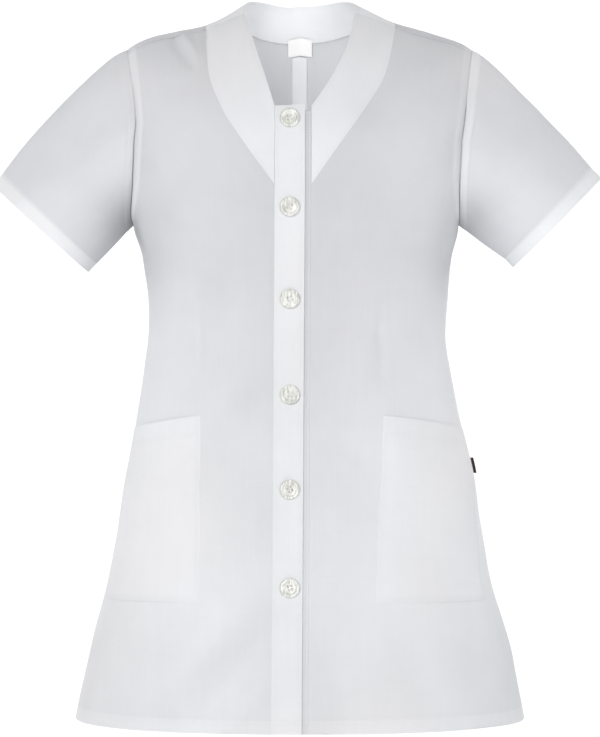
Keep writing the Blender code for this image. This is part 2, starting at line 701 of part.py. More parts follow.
def sleeve(cuff, side, front, back, material):
    """A tube from the armhole to the cuff, drawn back from the panels' edges."""
    armpit = len(level_rows()) - ARMHOLE_ROWS - 1
    front_edge = [(i, row[-1]) for i, row in enumerate(front)][armpit:]
    back_edge = [(i, row[-1]) for i, row in enumerate(back)][armpit:]
    front_shifts, back_shifts = edge_shifts(front), edge_shifts(back)
    loop = [k for _, k in front_edge] + [k for _, k in reversed(back_edge[1:-1])]
    away = [-front_shifts[i, SIDE_COLUMN] for i, _ in front_edge]
    away += [-back_shifts[i, BACK_COLUMNS] for i, _ in reversed(back_edge[1:-1])]
    for place, back_row in ((0, back_edge[0][0]), (len(front_edge) - 1, back_edge[-1][0])):
        away[place] = away[place] - back_shifts[back_row, BACK_COLUMNS]
    away = [way.normalized() for way in away]

    top = max(range(len(loop)), key=lambda i: loop[i].point.z)
    around = [0.0]
    for here, after in zip(loop, loop[1:] + loop[:1]):
        around.append(around[-1] + (after.point - here.point).length)
    cuff_top, cuff_foot = Vector((cuff.top_x, 0.0, cuff.top_z)), Vector((cuff.foot_x, 0.0, cuff.foot_z))
    centre = 0.5 * (cuff_top + cuff_foot)
    upright = 0.5 * (cuff_top - cuff_foot)
    axis = Vector((side * abs(upright.z), 0.0, -abs(upright.x))).normalized()

    rings = []
    starts = [k.point + way * HALF_SEAM for k, way in zip(loop, away)]
    low, high = loop[0].point.z, loop[top].point.z
    cuffs = []
    for i in range(len(loop)):
        if i <= top:
            angle = math.pi * (1.0 - around[i] / around[top])
        else:
            angle = -math.pi * (around[i] - around[top]) / (around[-1] - around[top])
        deep = Vector((0.0, -CUFF_HALF_DEPTH * math.sin(angle), 0.0))
        cuffs.append(centre + upright * math.cos(angle) + deep)
    for share in SLEEVE_RINGS:
        ring = []
        for start, rim in zip(starts, cuffs):
            end = rim - axis * SLEEVE_HEM
            height = (start.z - low) / (high - low)
            way = SLEEVE_STARTS[1].lerp(SLEEVE_STARTS[0], height)
            way = Vector((side * way.x, way.y, way.z)).normalized()
            bend = start + way * (end - start).length * cuff.lead
            ring.append(start.lerp(bend, share).lerp(bend.lerp(end, share), share))
        rings.append(ring)
    hem_line = [point + axis * HEM_STEP for point in rings[-1]]
    rings += [hem_line, cuffs]
    normals = ring_normals(rings)
    for i, way in enumerate(away):
        over = normals[0][i].dot(-way)
        if over < 0.0:
            normals[0][i] = (normals[0][i] + way * over).normalized()
    inner = []
    for k, ring in enumerate(rings):
        depth = HEM_CLOTH if k >= len(SLEEVE_RINGS) else CLOTH
        inner.append([point - normal * depth for point, normal in zip(ring, normals[k])])
    return wall_object("sleeve_" + cuff.side, rings, inner, material, ring=True)


def ring_normals(rings):
    """Outward normals of a tube."""
    normals = []
    for k, ring in enumerate(rings):
        before, after = rings[max(k - 1, 0)], rings[min(k + 1, len(rings) - 1)]
        middle = sum(ring, Vector()) / len(ring)
        line = []
        for i, point in enumerate(ring):
            along = after[i] - before[i]
            across = ring[(i + 1) % len(ring)] - ring[i - 1]
            normal = along.cross(across).normalized()
            line.append(normal if normal.dot(point - middle) > 0.0 else -normal)
        normals.append(line)
    return normals


def pocket_grid(front):
    rows = front[POCKET_FOOT_ROW:POCKET_TOP_ROW + 1]
    return [row[DART_COLUMN:POCKET_COLUMN + 1] for row in rows]


def strip_grid(back):
    """The felled allowance on the inside of the centre back seam."""
    runs = []
    for row in back:
        z = row[0].point.z
        if STRIP_FOOT_Z < z < STRIP_TOP_Z - STRIP_LAST_STEP:
            runs.append(back_run_at(0.0, z))
    runs = [back_run_at(0.0, STRIP_FOOT_Z)] + runs + [back_run_at(0.0, STRIP_TOP_Z)]
    return [[knot(turn_at(x, run, False), run, -CLOTH - STRIP_GAP) for x in STRIP_X] for run in runs]


def label_grid():
    grid = []
    for z in (LABEL_FOOT_Z, 0.5 * (LABEL_FOOT_Z + LABEL_TOP_Z), LABEL_TOP_Z):
        run = back_run_at(0.0, z)
        lines = (-LABEL_HALF_WIDTH, 0.0, LABEL_HALF_WIDTH)
        grid.append([knot(turn_at(x, run, False), run, -LABEL_DEPTH) for x in lines])
    return grid


def button(name, z, material):
    """A turned disc with a raised rim and a shallow dish."""
    vertices = []
    for share, height in BUTTON_PROFILE:
        r = share * BUTTON_RADIUS
        for side in range(BUTTON_SIDES):
            angle = 2.0 * math.pi * side / BUTTON_SIDES
            vertices.append(Vector((r * math.cos(angle), r * math.sin(angle), height)))
    faces = []
    for ring in range(len(BUTTON_PROFILE) - 1):
        for side in range(BUTTON_SIDES):
            a, b = ring * BUTTON_SIDES + side, ring * BUTTON_SIDES + (side + 1) % BUTTON_SIDES
            c, d = b + BUTTON_SIDES, a + BUTTON_SIDES
            faces += [(a, b, c), (a, c, d)]
    for first in (0, len(BUTTON_PROFILE) - 1):
        middle = len(vertices)
        vertices.append(Vector((0.0, 0.0, BUTTON_PROFILE[first][1])))
        for side in range(BUTTON_SIDES):
            a, b = first * BUTTON_SIDES + side, first * BUTTON_SIDES + (side + 1) % BUTTON_SIDES
            faces.append((middle, b, a) if first == 0 else (middle, a, b))
    run = run_at(BUTTON_X, z)
    seat = knot(turn_at(BUTTON_X, run), run, PLACKET_RAISE + BUTTON_STAND)
    thing = mesh_object(name, vertices, faces, material)
    turned = seat.normal.to_track_quat("Z", "Y").to_matrix().to_4x4()
    thing.matrix_world = Matrix.Translation(seat.point) @ turned
    return thing


def side_tag(material):
    """A short folded tape that stands out of the left side seam."""
    half = 0.5 * TAG_CLOTH
    fold = TAG_REACH - half
    outline = [(0.0, -half), (fold, -half), (TAG_REACH, 0.0), (fold, half), (0.0, half)]
    vertices = []
    for z in (TAG_FOOT_Z, TAG_TOP_Z):
        root = body_point(90.0, z - CHEST_Z)
        root += body_normal(90.0, z - CHEST_Z) * LAYER_GAP
        vertices += [root + Vector((out, side, 0.0)) for out, side in outline]
    count = len(outline)
    faces = [(0, k + 1, k) for k in range(1, count - 1)]
    faces += [(count, count + k, count + k + 1) for k in range(1, count - 1)]
    for k in range(count):
        a, b = k, (k + 1) % count
        faces += [(a, b, b + count), (a, b + count, a + count)]
    return mesh_object("side_tag", vertices, faces, material)


def material(name, colour, roughness):
    made = bpy.data.materials.new(name)
    made.use_nodes = True
    shader = made.node_tree.nodes["Principled BSDF"]
    shader.inputs["Base Color"].default_value = (*colour, 1.0)
    shader.inputs["Roughness"].default_value = roughness
    shader.inputs["Metallic"].default_value = 0.0
    return made


def build_tunic():
    for old in list(bpy.data.objects):
        bpy.data.objects.remove(old, do_unlink=True)
    cloth = material("white_poplin", (0.86, 0.87, 0.89), 0.85)
    pearl = material("pearl_button", (0.84, 0.82, 0.74), 0.25)
    label_cloth = material("label_satin", (0.90, 0.89, 0.87), 0.55)
    tag_cloth = material("dark_brown_tape", (0.06, 0.03, 0.025), 0.80)
    fronts = {side: front_grid(side) for side in (RIGHT, LEFT)}
    backs = {side: back_grid(side) for side in (RIGHT, LEFT)}
    for side, word, cuff in ((RIGHT, "right", CUFFS[0]), (LEFT, "left", CUFFS[1])):
        panel("front_" + word, fronts[side], cloth, hem_rows=HEM_ROWS)
        panel("back_" + word, backs[side], cloth, hem_rows=HEM_ROWS)
        panel("collar_front_" + word, collar_front_grid(side), cloth, DOUBLE)
        sleeve(cuff, side, fronts[side], backs[side], cloth)
        pocket = moved(pocket_grid(fronts[side]), LAYER_GAP + CLOTH)
        panel("pocket_" + word, pocket, cloth)
    panel("placket_right", placket_grid(PLACKET_RIGHT_X, PLACKET_RAISE), cloth, DOUBLE)
    panel("placket_left", placket_grid(PLACKET_LEFT_X, -LAP_DEPTH), cloth, DOUBLE)
    panel("collar_back", collar_back_grid(), cloth, DOUBLE)
    panel("centre_back_seam", strip_grid(backs[LEFT]), cloth)
    panel("neck_label", label_grid(), label_cloth, LABEL_CLOTH)
    side_tag(tag_cloth)
    for number, z in enumerate(BUTTON_ZS, 1):
        button("button_" + str(number), z, pearl)
    holder = bpy.data.objects.new("held_at_shoulders", None)
    bpy.context.collection.objects.link(holder)
    for thing in list(bpy.context.collection.objects):
        if thing.type == "MESH":
            thing.parent = holder


build_tunic()
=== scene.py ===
import math

import bpy
import numpy as np
from mathutils import Matrix, Vector


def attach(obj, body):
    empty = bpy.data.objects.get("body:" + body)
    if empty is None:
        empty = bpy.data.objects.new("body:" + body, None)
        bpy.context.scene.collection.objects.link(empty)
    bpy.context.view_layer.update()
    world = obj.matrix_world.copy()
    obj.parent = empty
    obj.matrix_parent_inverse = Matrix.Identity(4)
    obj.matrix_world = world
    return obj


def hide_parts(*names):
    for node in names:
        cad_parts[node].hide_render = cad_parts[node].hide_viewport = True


# A white medical tunic, filled out as it is worn and empty inside.
# Metres. Up is +z, the wearer's left is +x and the back is +y.

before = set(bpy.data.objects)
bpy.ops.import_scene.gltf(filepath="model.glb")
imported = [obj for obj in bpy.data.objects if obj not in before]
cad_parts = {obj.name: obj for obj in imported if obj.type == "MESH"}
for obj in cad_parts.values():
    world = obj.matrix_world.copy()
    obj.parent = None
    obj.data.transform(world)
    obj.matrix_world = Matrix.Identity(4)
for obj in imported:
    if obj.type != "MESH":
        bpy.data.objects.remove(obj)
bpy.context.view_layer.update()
print("frame loaded:", len(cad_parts), "nodes")


# small helpers for shapes and node trees
def mix(a, b, share):
    return a + (b - a) * share


def ease(share):
    share = np.clip(share, 0.0, 1.0)
    return share * share * (3.0 - 2.0 * share)


def addObject(name, data):
    thing = bpy.data.objects.new(name, data)
    bpy.context.scene.collection.objects.link(thing)
    return thing


# each socket takes a constant or the output that is linked to it
def setSockets(tree, node, sockets):
    for key, value in sockets.items():
        if isinstance(value, bpy.types.NodeSocket):
            tree.links.new(value, node.inputs[key])
        else:
            node.inputs[key].default_value = value


def addNode(tree, kind, sockets=None, **settings):
    node = tree.nodes.new(kind)
    for key, value in settings.items():
        setattr(node, key, value)
    setSockets(tree, node, sockets or {})
    return node


def doMath(tree, operation, *values):
    return addNode(tree, "ShaderNodeMath", dict(enumerate(values)), operation=operation).outputs[0]


# paint(tree) gives the sockets of the shader
def newMaterial(name, paint):
    made = bpy.data.materials.new(name)
    made.use_nodes = True
    setSockets(made.node_tree, made.node_tree.nodes["Principled BSDF"], paint(made.node_tree))
    return made


# camera, floor and light

studio = {
    "cameraAway": 3.0,              # in front of the shoulders
    "cameraHeight": -0.397,
    "lens": 163.6,
    "floorHeight": -1.40,           # the floor of someone standing in the tunic
    "floorReach": 9.0,
    "wallAway": 3.2,                # the floor curves up into a wall behind
    "wallHeight": 5.0,
    "wallCurve": 1.2,
    "curveSteps": 24,
    "floorColour": (0.93, 0.93, 0.935, 1.0),
    "skyColour": (0.985, 0.99, 1.0, 1.0),
    "skyStrength": 0.21,
    # place, size, watts and the point that the lamp faces
    "lamps": {
        "keyLamp": ((-1.1, -3.3, 0.60), (1.6, 1.6), 62.0, (0.0, 0.0, -0.4)),
        "fillLamp": ((1.5, -3.2, 0.2), (1.5, 1.5), 33.0, (0.0, 0.0, -0.4)),
        "topLamp": ((0.2, -0.6, 2.4), (1.6, 1.2), 4.0, (0.0, 0.0, -0.4)),
        "wallLampLeft": ((-2.6, 1.2, 1.0), (1.0, 2.4), 66.0, (0.0, 3.0, 0.0)),
        "wallLampRight": ((2.6, 1.2, 1.0), (1.0, 2.4), 66.0, (0.0, 3.0, 0.0)),
        # stands for the light that real cloth lets through
        "insideLamp": ((0.0, -0.06, -0.15), (0.10, 0.05), 0.122, (0.0, 0.09, -0.03)),
    },
}


def aim(thing, place, target):
    thing.location = place
    thing.rotation_euler = (Vector(target) - Vector(place)).to_track_quat("-Z", "Y").to_euler()


# seen from behind, the wall lets the view through
def floorPaint(tree):
    behind = addNode(tree, "ShaderNodeNewGeometry").outputs["Backfacing"]
    clear = addNode(tree, "ShaderNodeBsdfTransparent").outputs[0]
    solid = tree.nodes["Principled BSDF"].outputs[0]
    blend = addNode(tree, "ShaderNodeMixShader", {0: behind, 1: solid, 2: clear})
    setSockets(tree, tree.nodes["Material Output"], {"Surface": blend.outputs[0]})
    return {"Base Color": studio["floorColour"], "Roughness": 0.9}


def buildFloor():
    profile = [(-studio["floorReach"], 0.0)]
    for k in range(studio["curveSteps"] + 1):
        angle = 0.5 * math.pi * k / studio["curveSteps"]
        away = studio["wallAway"] - studio["wallCurve"] * (1.0 - math.sin(angle))
        profile.append((away, studio["wallCurve"] * (1.0 - math.cos(angle))))
    profile.append((studio["wallAway"], studio["wallHeight"]))
    corners = [(side * studio["floorReach"], away, studio["floorHeight"] + up)
               for away, up in profile for side in (-1, 1)]
    faces = [(2 * k, 2 * k + 1, 2 * k + 3, 2 * k + 2) for k in range(len(profile) - 1)]
    mesh = bpy.data.meshes.new("paleFloor")
    mesh.from_pydata(corners, [], faces)
    mesh.shade_smooth()
    mesh.materials.append(newMaterial("floorPaint", floorPaint))
    addObject("paleFloor", mesh)


def buildStudio():
    camera = addObject("camera", bpy.data.cameras.new("camera"))
    camera.data.sensor_fit = "HORIZONTAL"
    camera.data.sensor_width = 36.0
    camera.data.lens = studio["lens"]
    aim(camera, (0.0, -studio["cameraAway"], studio["cameraHeight"]), (0.0, 0.0, studio["cameraHeight"]))
    scene = bpy.context.scene
    scene.camera = camera
    buildFloor()
    for name, (place, size, watts, target) in studio["lamps"].items():
        light = bpy.data.lights.new(name, "AREA")
        light.shape = "RECTANGLE"
        light.size, light.size_y = size
        light.energy = watts
        aim(addObject(name, light), place, target)
    scene.world = bpy.data.worlds.new("softSky")
    scene.world.use_nodes = True
    tree = scene.world.node_tree
    setSockets(tree, tree.nodes["Background"],
               {"Color": studio["skyColour"], "Strength": studio["skyStrength"]})
    scene.view_settings.view_transform = "Standard"
    scene.view_settings.look = "None"


buildStudio()
print("studio ready")


# the body surface that every panel follows
# turn is the angle in degrees round the body from the centre front, over the side (90)
# to the centre back (180), negative on the wearer's right. run is the way in metres up
# the front, over the shoulder and down the back, 0 where the chest starts to lean back.

body = {
    "hemZ": -0.780,
    "armpitZ": -0.238,
    "chestZ": -0.150,
    "blunt": 2.2,                   # how square the level sections are
    "archRun": 0.160,
    "frontBend": 1.8,
    "backBend": 2.4,
    "seamRun": 0.80 * 0.160,        # the shoulder seam, in front of the ridge
    "armShare": 0.55,
    # level sections: height, half width, depth in front and behind, x of the centre
    "levels": (
        (-0.780, 0.2460, 0.150, 0.150, 0.000),
        (-0.710, 0.2315, 0.142, 0.145, 0.001),
        (-0.645, 0.2135, 0.134, 0.139, -0.001),
        (-0.590, 0.2015, 0.127, 0.132, -0.001),
        (-0.508, 0.1880, 0.118, 0.121, -0.001),
        (-0.445, 0.1745, 0.110, 0.106, -0.003),
        (-0.398, 0.1670, 0.105, 0.093, -0.003),
        (-0.360, 0.1630, 0.104, 0.087, -0.003),
        (-0.321, 0.1645, 0.108, 0.089, -0.003),
        (-0.277, 0.1690, 0.115, 0.096, -0.004),
        (-0.238, 0.1785, 0.118, 0.102, -0.004),
        (-0.190, 0.1785, 0.114, 0.107, -0.003),
        (-0.150, 0.1785, 0.108, 0.108, -0.002),
        (-0.080, 0.1785, 0.099, 0.106, -0.002),
        (0.020, 0.1785, 0.092, 0.104, -0.002),
    ),
    # x of the armhole by height, and height of the shoulder's ridge by x
    "armhole": ((-0.238, 0.1785), (-0.190, 0.1765), (-0.142, 0.1765), (-0.100, 0.1800), (-0.048, 0.1885)),
    "ridge": ((0.000, 0.015), (0.060, 0.000), (0.104, -0.017), (0.150, -0.031), (0.175, -0.040),
              (0.192, -0.050)),
}


# a smooth curve through the values that never overshoots them
def smoothCurve(keys, values):
    keys, values = np.array(keys, float), np.array(values, float)
    steps = np.diff(values) / np.diff(keys)
    before, after = steps[:-1], steps[1:]
    total = np.where(before + after == 0.0, 1.0, before + after)
    inner = np.where(before * after <= 0.0, 0.0, 2.0 * before * after / total)
    slopes = np.concatenate([steps[:1], inner, steps[-1:]])

    def read(at):
        at = np.clip(at, keys[0], keys[-1])
        i = np.clip(np.searchsorted(keys, at) - 1, 0, len(steps) - 1)
        width = keys[i + 1] - keys[i]
        t = (at - keys[i]) / width
        bow = t * (1.0 - t) * width * (slopes[i] * (1.0 - t) - slopes[i + 1] * t)
        bow = bow - t * (1.0 - t) * (1.0 - 2.0 * t) * (values[i + 1] - values[i])
        return mix(values[i], values[i + 1], t) + bow

    return read


levels = list(zip(*body["levels"]))
halfWidth, frontDepth, backDepth, centreX = [smoothCurve(levels[0], values) for values in levels[1:]]
armholeX = smoothCurve(*zip(*body["armhole"]))
ridgeZ = smoothCurve(*zip(*body["ridge"]))
hemZ, armpitZ, chestZ, blunt = body["hemZ"], body["armpitZ"], body["chestZ"], body["blunt"]
archRun, seamRun = body["archRun"], body["seamRun"]


def armholeShare(z):
    height = (chestZ - z) / (chestZ - armpitZ)
    return body["armShare"] * np.sqrt(np.maximum(1.0 - height * height, 0.0))


def levelWidth(z):
    high = np.clip(z, armpitZ, chestZ)
    wide = armholeX(high) / (1.0 - armholeShare(high) ** blunt) ** (1.0 / blunt)
    return np.where(z <= armpitZ, halfWidth(z), wide)


def bodyPoint(turn, run):
    turn, run = np.broadcast_arrays(np.asarray(turn, float), np.asarray(run, float))
    angle = np.radians(np.abs(turn))
    across = np.sign(turn) * np.abs(np.sin(angle)) ** (2.0 / blunt)
    along = np.abs(np.cos(angle)) ** (2.0 / blunt)
    # straight up and down, below the arch of the shoulders
    flatZ = np.where(run < 0.0, chestZ + run, chestZ - (run - 2.0 * archRun))
    flatDepth = np.where(np.cos(angle) > 0.0, -frontDepth(flatZ), backDepth(flatZ))
    flatX = centreX(flatZ) + levelWidth(flatZ) * across
    # over the shoulders
    inFront = run < archRun
    power = 2.0 / np.where(inFront, body["frontBend"], body["backBend"])
    lean = 0.5 * np.pi * np.clip(np.where(inFront, run, 2.0 * archRun - run) / archRun, 0.0, 1.0)
    archX = centreX(chestZ) + levelWidth(chestZ) * across
    archZ = chestZ + (ridgeZ(np.abs(archX)) - chestZ) * np.sin(lean) ** power
    archDepth = np.where(inFront, -frontDepth(archZ), backDepth(archZ)) * np.abs(np.cos(lean)) ** power
    flat = (run < 0.0) | (run > 2.0 * archRun)
    x = np.where(flat, flatX, archX)
    y = np.where(flat, flatDepth, archDepth) * along
    return np.stack([x, y, np.where(flat, flatZ, archZ)], axis=-1)


def bodyNormal(turn, run):
    across = bodyPoint(turn + 0.2, run) - bodyPoint(turn - 0.2, run)
    upward = bodyPoint(turn, run + 0.0005) - bodyPoint(turn, run - 0.0005)
    normal = np.cross(across, upward)
    normal = normal / np.linalg.norm(normal, axis=-1, keepdims=True)
    point = bodyPoint(turn, run)
    x, z = point[..., 0], point[..., 2]
    core = np.stack([0.5 * x, 0.0 * x, np.minimum(z, chestZ - 0.05)], axis=-1)
    side = np.sum(normal * (point - core), axis=-1, keepdims=True)
    return np.where(side > 0.0, normal, -normal)


def turnAt(x, run, inFront=True):
    x, run = np.broadcast_arrays(np.asarray(x, float), np.asarray(run, float))
    z = chestZ + np.minimum(run, 0.0) - np.maximum(run - 2.0 * archRun, 0.0)
    offset = x - centreX(z)
    turn = np.degrees(np.arcsin(np.minimum(np.abs(offset) / levelWidth(z), 1.0) ** (0.5 * blunt)))
    return np.copysign(turn if inFront else 180.0 - turn, offset)


# how far up the arch of the shoulder, from 0 to 1, the surface has this height
def leanAt(x, z, bend):
    rise = np.clip((z - chestZ) / (ridgeZ(np.abs(x)) - chestZ), 0.0, 1.0)
    return np.arcsin(rise ** (0.5 * bend)) / (0.5 * np.pi)


def frontRunAt(x, z):
    return np.where(np.asarray(z) <= chestZ, z - chestZ, leanAt(x, z, body["frontBend"]) * archRun)


def backRunAt(x, z):
    high = (2.0 - leanAt(x, z, body["backBend"])) * archRun
    return np.where(np.asarray(z) <= chestZ, 2.0 * archRun + chestZ - z, high)


# the run over the shoulder at which the surface is this deep
def runAtDepth(x, y):
    low, high = np.full(np.shape(x), seamRun), np.full(np.shape(x), 2.0 * archRun)
    for _ in range(40):
        middle = 0.5 * (low + high)
        short = bodyPoint(turnAt(x, middle), middle)[..., 1] < y
        low, high = np.where(short, middle, low), np.where(short, high, middle)
    return low


# the distance from the centre of an edge that is given by its height
def edgeX(readX, run):
    x = readX(chestZ) * np.ones(np.shape(run))
    for _ in range(12):
        x = readX(bodyPoint(turnAt(x, run), run)[..., 2])
    return np.where(np.asarray(run) <= 0.0, readX(chestZ + np.minimum(run, 0.0)), x)


# rows and columns of the cut
# Rows are counted up the panels from the hem, columns from the centre to the side seam.

cut = {
    # centre height, side height and the rows up to the next line
    "stationCentre": (-0.780, -0.7660, -0.7655, -0.730, -0.645, -0.447, -0.360, -0.300, -0.238),
    "stationSide":   (-0.780, -0.7660, -0.7655, -0.730, -0.648, -0.467, -0.360, -0.300, -0.238),
    "stationRow":    (0, 1, 2, 3, 6, 14, 18, 20, 23),
    "armholeRows": 5,
    "collarRow": 3,                 # of the armhole rows, the one at the collar's foot
    "archRows": 6,
    "backArchRows": 7,
    "dartColumn": 6,
    "pocketColumn": 13,
    "sideColumn": 14,
    "backColumns": 12,
    "cornerColumn": 7,              # the collar's corner on a back panel
    "pocketFootRow": 6,
    "pocketTopRow": 14,
    "ventZ": -0.730,
    "ventTurn": {-1.0: 2.2, 1.0: 0.6},  # degrees at the hem, of the front and the back edge
    "collarFootZ": -0.202,
    "neckFootZ": -0.117,
    "placketRightX": (-0.027, 0.0055),
    "placketLeftX": (-0.020, 0.012),
    "placketDrift": 0.0035,
    "lapDepth": 0.0016,
    "lapEndX": 0.060,
    "collarX": 0.104,
    "neckX": 0.060,
    "collarBackY": 0.080,
    "neckBackY": 0.062,
    "collarLift": 0.016,
    "collarRise": 4.0,              # rows of the buttonhole band above the collar's foot
    "dartTopZ": -0.300,
    "waistZ": -0.360,
    "waistFade": 0.1,
}


def bothSides(keys, right, left):
    return {-1: smoothCurve(keys, right), 1: smoothCurve(keys, left)}


# distance of an edge or a dart from the centre, by height
collarOuter = bothSides((-0.202, -0.159, -0.120, -0.080, -0.025),
                        (0.027, 0.058, 0.083, 0.098, 0.104), (0.012, 0.042, 0.069, 0.092, 0.104))
collarInner = bothSides((-0.117, -0.087, -0.047, -0.009),
                        (0.027, 0.036, 0.049, 0.060), (0.012, 0.032, 0.051, 0.060))
dartLine = bothSides((-0.780, -0.645, -0.447, -0.360, -0.300),
                     (0.128, 0.106, 0.106, 0.107, 0.108), (0.092, 0.079, 0.088, 0.085, 0.085))
# degrees from the pocket's outer edge to the side seam, by height
pocketSet = bothSides((-0.780, -0.648, -0.550, -0.467, -0.360),
                      (7.0, 9.0, 6.0, 3.0, 6.0), (12.0, 20.0, 11.0, 3.0, 6.0))
armpitRow = cut["stationRow"][-1]
chestRow = armpitRow + cut["armholeRows"]
topRow = chestRow + cut["archRows"]
backTopRow = chestRow + cut["backArchRows"]


def gridOf(rows, columns):
    return np.asarray(rows, float)[:, None], np.asarray(columns, float)[None, :]


def rowHeights(rows):
    step = np.clip(rows - armpitRow, 0.0, cut["armholeRows"])
    sideArm = chestZ - (chestZ - armpitZ) * np.cos(0.5 * np.pi * step / cut["armholeRows"])
    centreArm = np.interp(step, (0, cut["collarRow"], cut["armholeRows"]),
                          (armpitZ, cut["collarFootZ"], chestZ))
    low = rows <= armpitRow
    centre = np.where(low, np.interp(rows, cut["stationRow"], cut["stationCentre"]), centreArm)
    side = np.where(low, np.interp(rows, cut["stationRow"], cut["stationSide"]), sideArm)
    return centre, side


def outerTurn(z, ventWay):
    opening = np.maximum(cut["ventZ"] - z, 0.0) / (cut["ventZ"] - hemZ)
    arm = np.degrees(np.arccos(np.clip(armholeShare(np.maximum(z, armpitZ)), 0.0, 1.0) ** (0.5 * blunt)))
    return np.where(z <= armpitZ, 90.0 + ventWay * cut["ventTurn"][ventWay] * opening, arm)


def placketDrift(z):
    return -cut["placketDrift"] * np.maximum(cut["collarFootZ"] - z, 0.0) / (cut["collarFootZ"] - hemZ)


def frontInnerX(side, run):
    z = chestZ + run
    placket = cut["placketRightX"][0] if side < 0 else cut["placketLeftX"][-1]
    low = np.abs(placket + placketDrift(np.minimum(z, cut["collarFootZ"])))
    return np.where(z <= cut["collarFootZ"], low, edgeX(collarOuter[side], run))


# turn and run of the points of a front, a row of the result for each row of the cut
def frontLines(side, rows, columns):
    rows, columns = gridOf(rows, columns)
    centre, sideZ = rowHeights(rows)
    arch = seamRun * np.clip(rows - chestRow, 0.0, None) / cut["archRows"]
    innerRun = np.where(rows <= chestRow, centre - chestZ, arch)
    outerRun = np.where(rows <= chestRow, sideZ - chestZ, arch)
    inner = np.abs(turnAt(side * frontInnerX(side, innerRun), innerRun))
    highRun = np.maximum(outerRun, 0.0)
    shift = centreX(chestZ) * np.clip(1.0 - (rows - chestRow), 0.0, 1.0)
    onArch = np.abs(turnAt(side * edgeX(armholeX, highRun) + shift, highRun))
    outer = np.where(rows <= chestRow, outerTurn(sideZ, -1.0), onArch)
    z = chestZ + np.minimum(innerRun, 0.0)
    dart, last, pocket = cut["dartColumn"], cut["sideColumn"], cut["pocketColumn"]
    drawn = np.abs(turnAt(side * dartLine[side](z), innerRun))
    above = ease((z - cut["dartTopZ"]) / (chestZ - cut["dartTopZ"]))
    dartTurn = mix(drawn, mix(inner, outer, dart / last), above)
    z = chestZ + np.minimum(outerRun, 0.0)
    above = ease((z - cut["waistZ"]) / cut["waistFade"])
    step = mix(pocketSet[side](z), (outer - dartTurn) / (last - dart), above)
    share = np.maximum(columns - dart, 0.0) / (last - dart)
    turn = np.where(
        columns <= dart, mix(inner, dartTurn, columns / dart),
        np.where(columns <= pocket, mix(dartTurn, outer - step, (columns - dart) / (pocket - dart)),
                 mix(outer - step, outer, (columns - pocket) / (last - pocket))))
    return side * turn, mix(innerRun, outerRun, share)


# a point of a neckline, from the centre back (0) to the shoulder seam (1)
def neckline(share, halfX, backY):
    share = np.asarray(share, float)
    seamY = bodyPoint(turnAt(halfX, seamRun), seamRun)[..., 1]
    x = halfX * np.sin(0.5 * np.pi * share)
    run = runAtDepth(x, mix(seamY, backY, np.cos(0.5 * np.pi * share)))
    return x, np.where(share >= 1.0, seamRun, run)


def backLines(side, rows, columns):
    rows, columns = gridOf(rows, columns)
    last, corner = cut["backColumns"], cut["cornerColumn"]
    share = columns / last
    centre, sideZ = rowHeights(np.minimum(rows, chestRow))
    outer = outerTurn(sideZ, 1.0)
    outer = np.where(sideZ <= armpitZ, outer, 180.0 - outer)
    lowTurn = side * mix(180.0, outer, share)
    lowRun = 2.0 * archRun + chestZ - mix(centre, sideZ, share)
    chestTurn = side * mix(180.0, 180.0 - outerTurn(np.array(chestZ), 1.0), share)
    chestX = bodyPoint(chestTurn, 2.0 * archRun)[..., 0]
    # the upper edge runs round the collar and then along the shoulder
    collarX, collarRun = neckline(np.minimum(columns / corner, 1.0), cut["collarX"], cut["collarBackY"])
    cornerTurn = turnAt(cut["collarX"], seamRun)
    armTurn = turnAt(edgeX(armholeX, np.array(seamRun)), seamRun)
    seamTurn = mix(cornerTurn, armTurn, np.clip((columns - corner) / (last - corner), 0.0, 1.0))
    topX = np.where(columns <= corner, collarX, bodyPoint(seamTurn, seamRun)[..., 0])
    topEdge = np.where(columns <= corner, collarRun, seamRun)
    rise = np.clip((rows - chestRow) / cut["backArchRows"], 0.0, 1.0)
    highRun = mix(2.0 * archRun, topEdge, rise)
    armX = edgeX(armholeX, highRun)
    x = mix(chestX, side * topX, rise)
    # near the side the columns lean over to the armhole
    leaning = np.clip(columns - last + 1.0, 0.0, 1.0) * np.clip(rows - chestRow, 0.0, 1.0)
    x = x + (side * armX - mix(chestX[:, -1:], side * topX[:, -1:], rise)) * leaning
    highTurn = turnAt(x, highRun, False)
    low = rows <= chestRow
    return np.where(low, lowTurn, highTurn), np.where(low, lowRun, highRun)


def placketLines(side, rows, shares):
    rows, shares = gridOf(rows, shares)
    foot = frontRunAt(np.array(cut["placketRightX"][0]), np.array(cut["neckFootZ"]))
    collarRow = armpitRow + cut["collarRow"]
    level, _ = rowHeights(np.minimum(rows, collarRow))
    rise = np.clip((rows - collarRow) / cut["collarRise"], 0.0, 1.0)
    run = np.where(rows <= collarRow, level - chestZ, mix(cut["collarFootZ"] - chestZ, foot, rise))
    low, high = cut["placketRightX"] if side < 0 else cut["placketLeftX"]
    x = mix(low, high, shares) + placketDrift(chestZ + np.minimum(run, 0.0))
    return turnAt(x, run), run * np.ones(shares.shape)


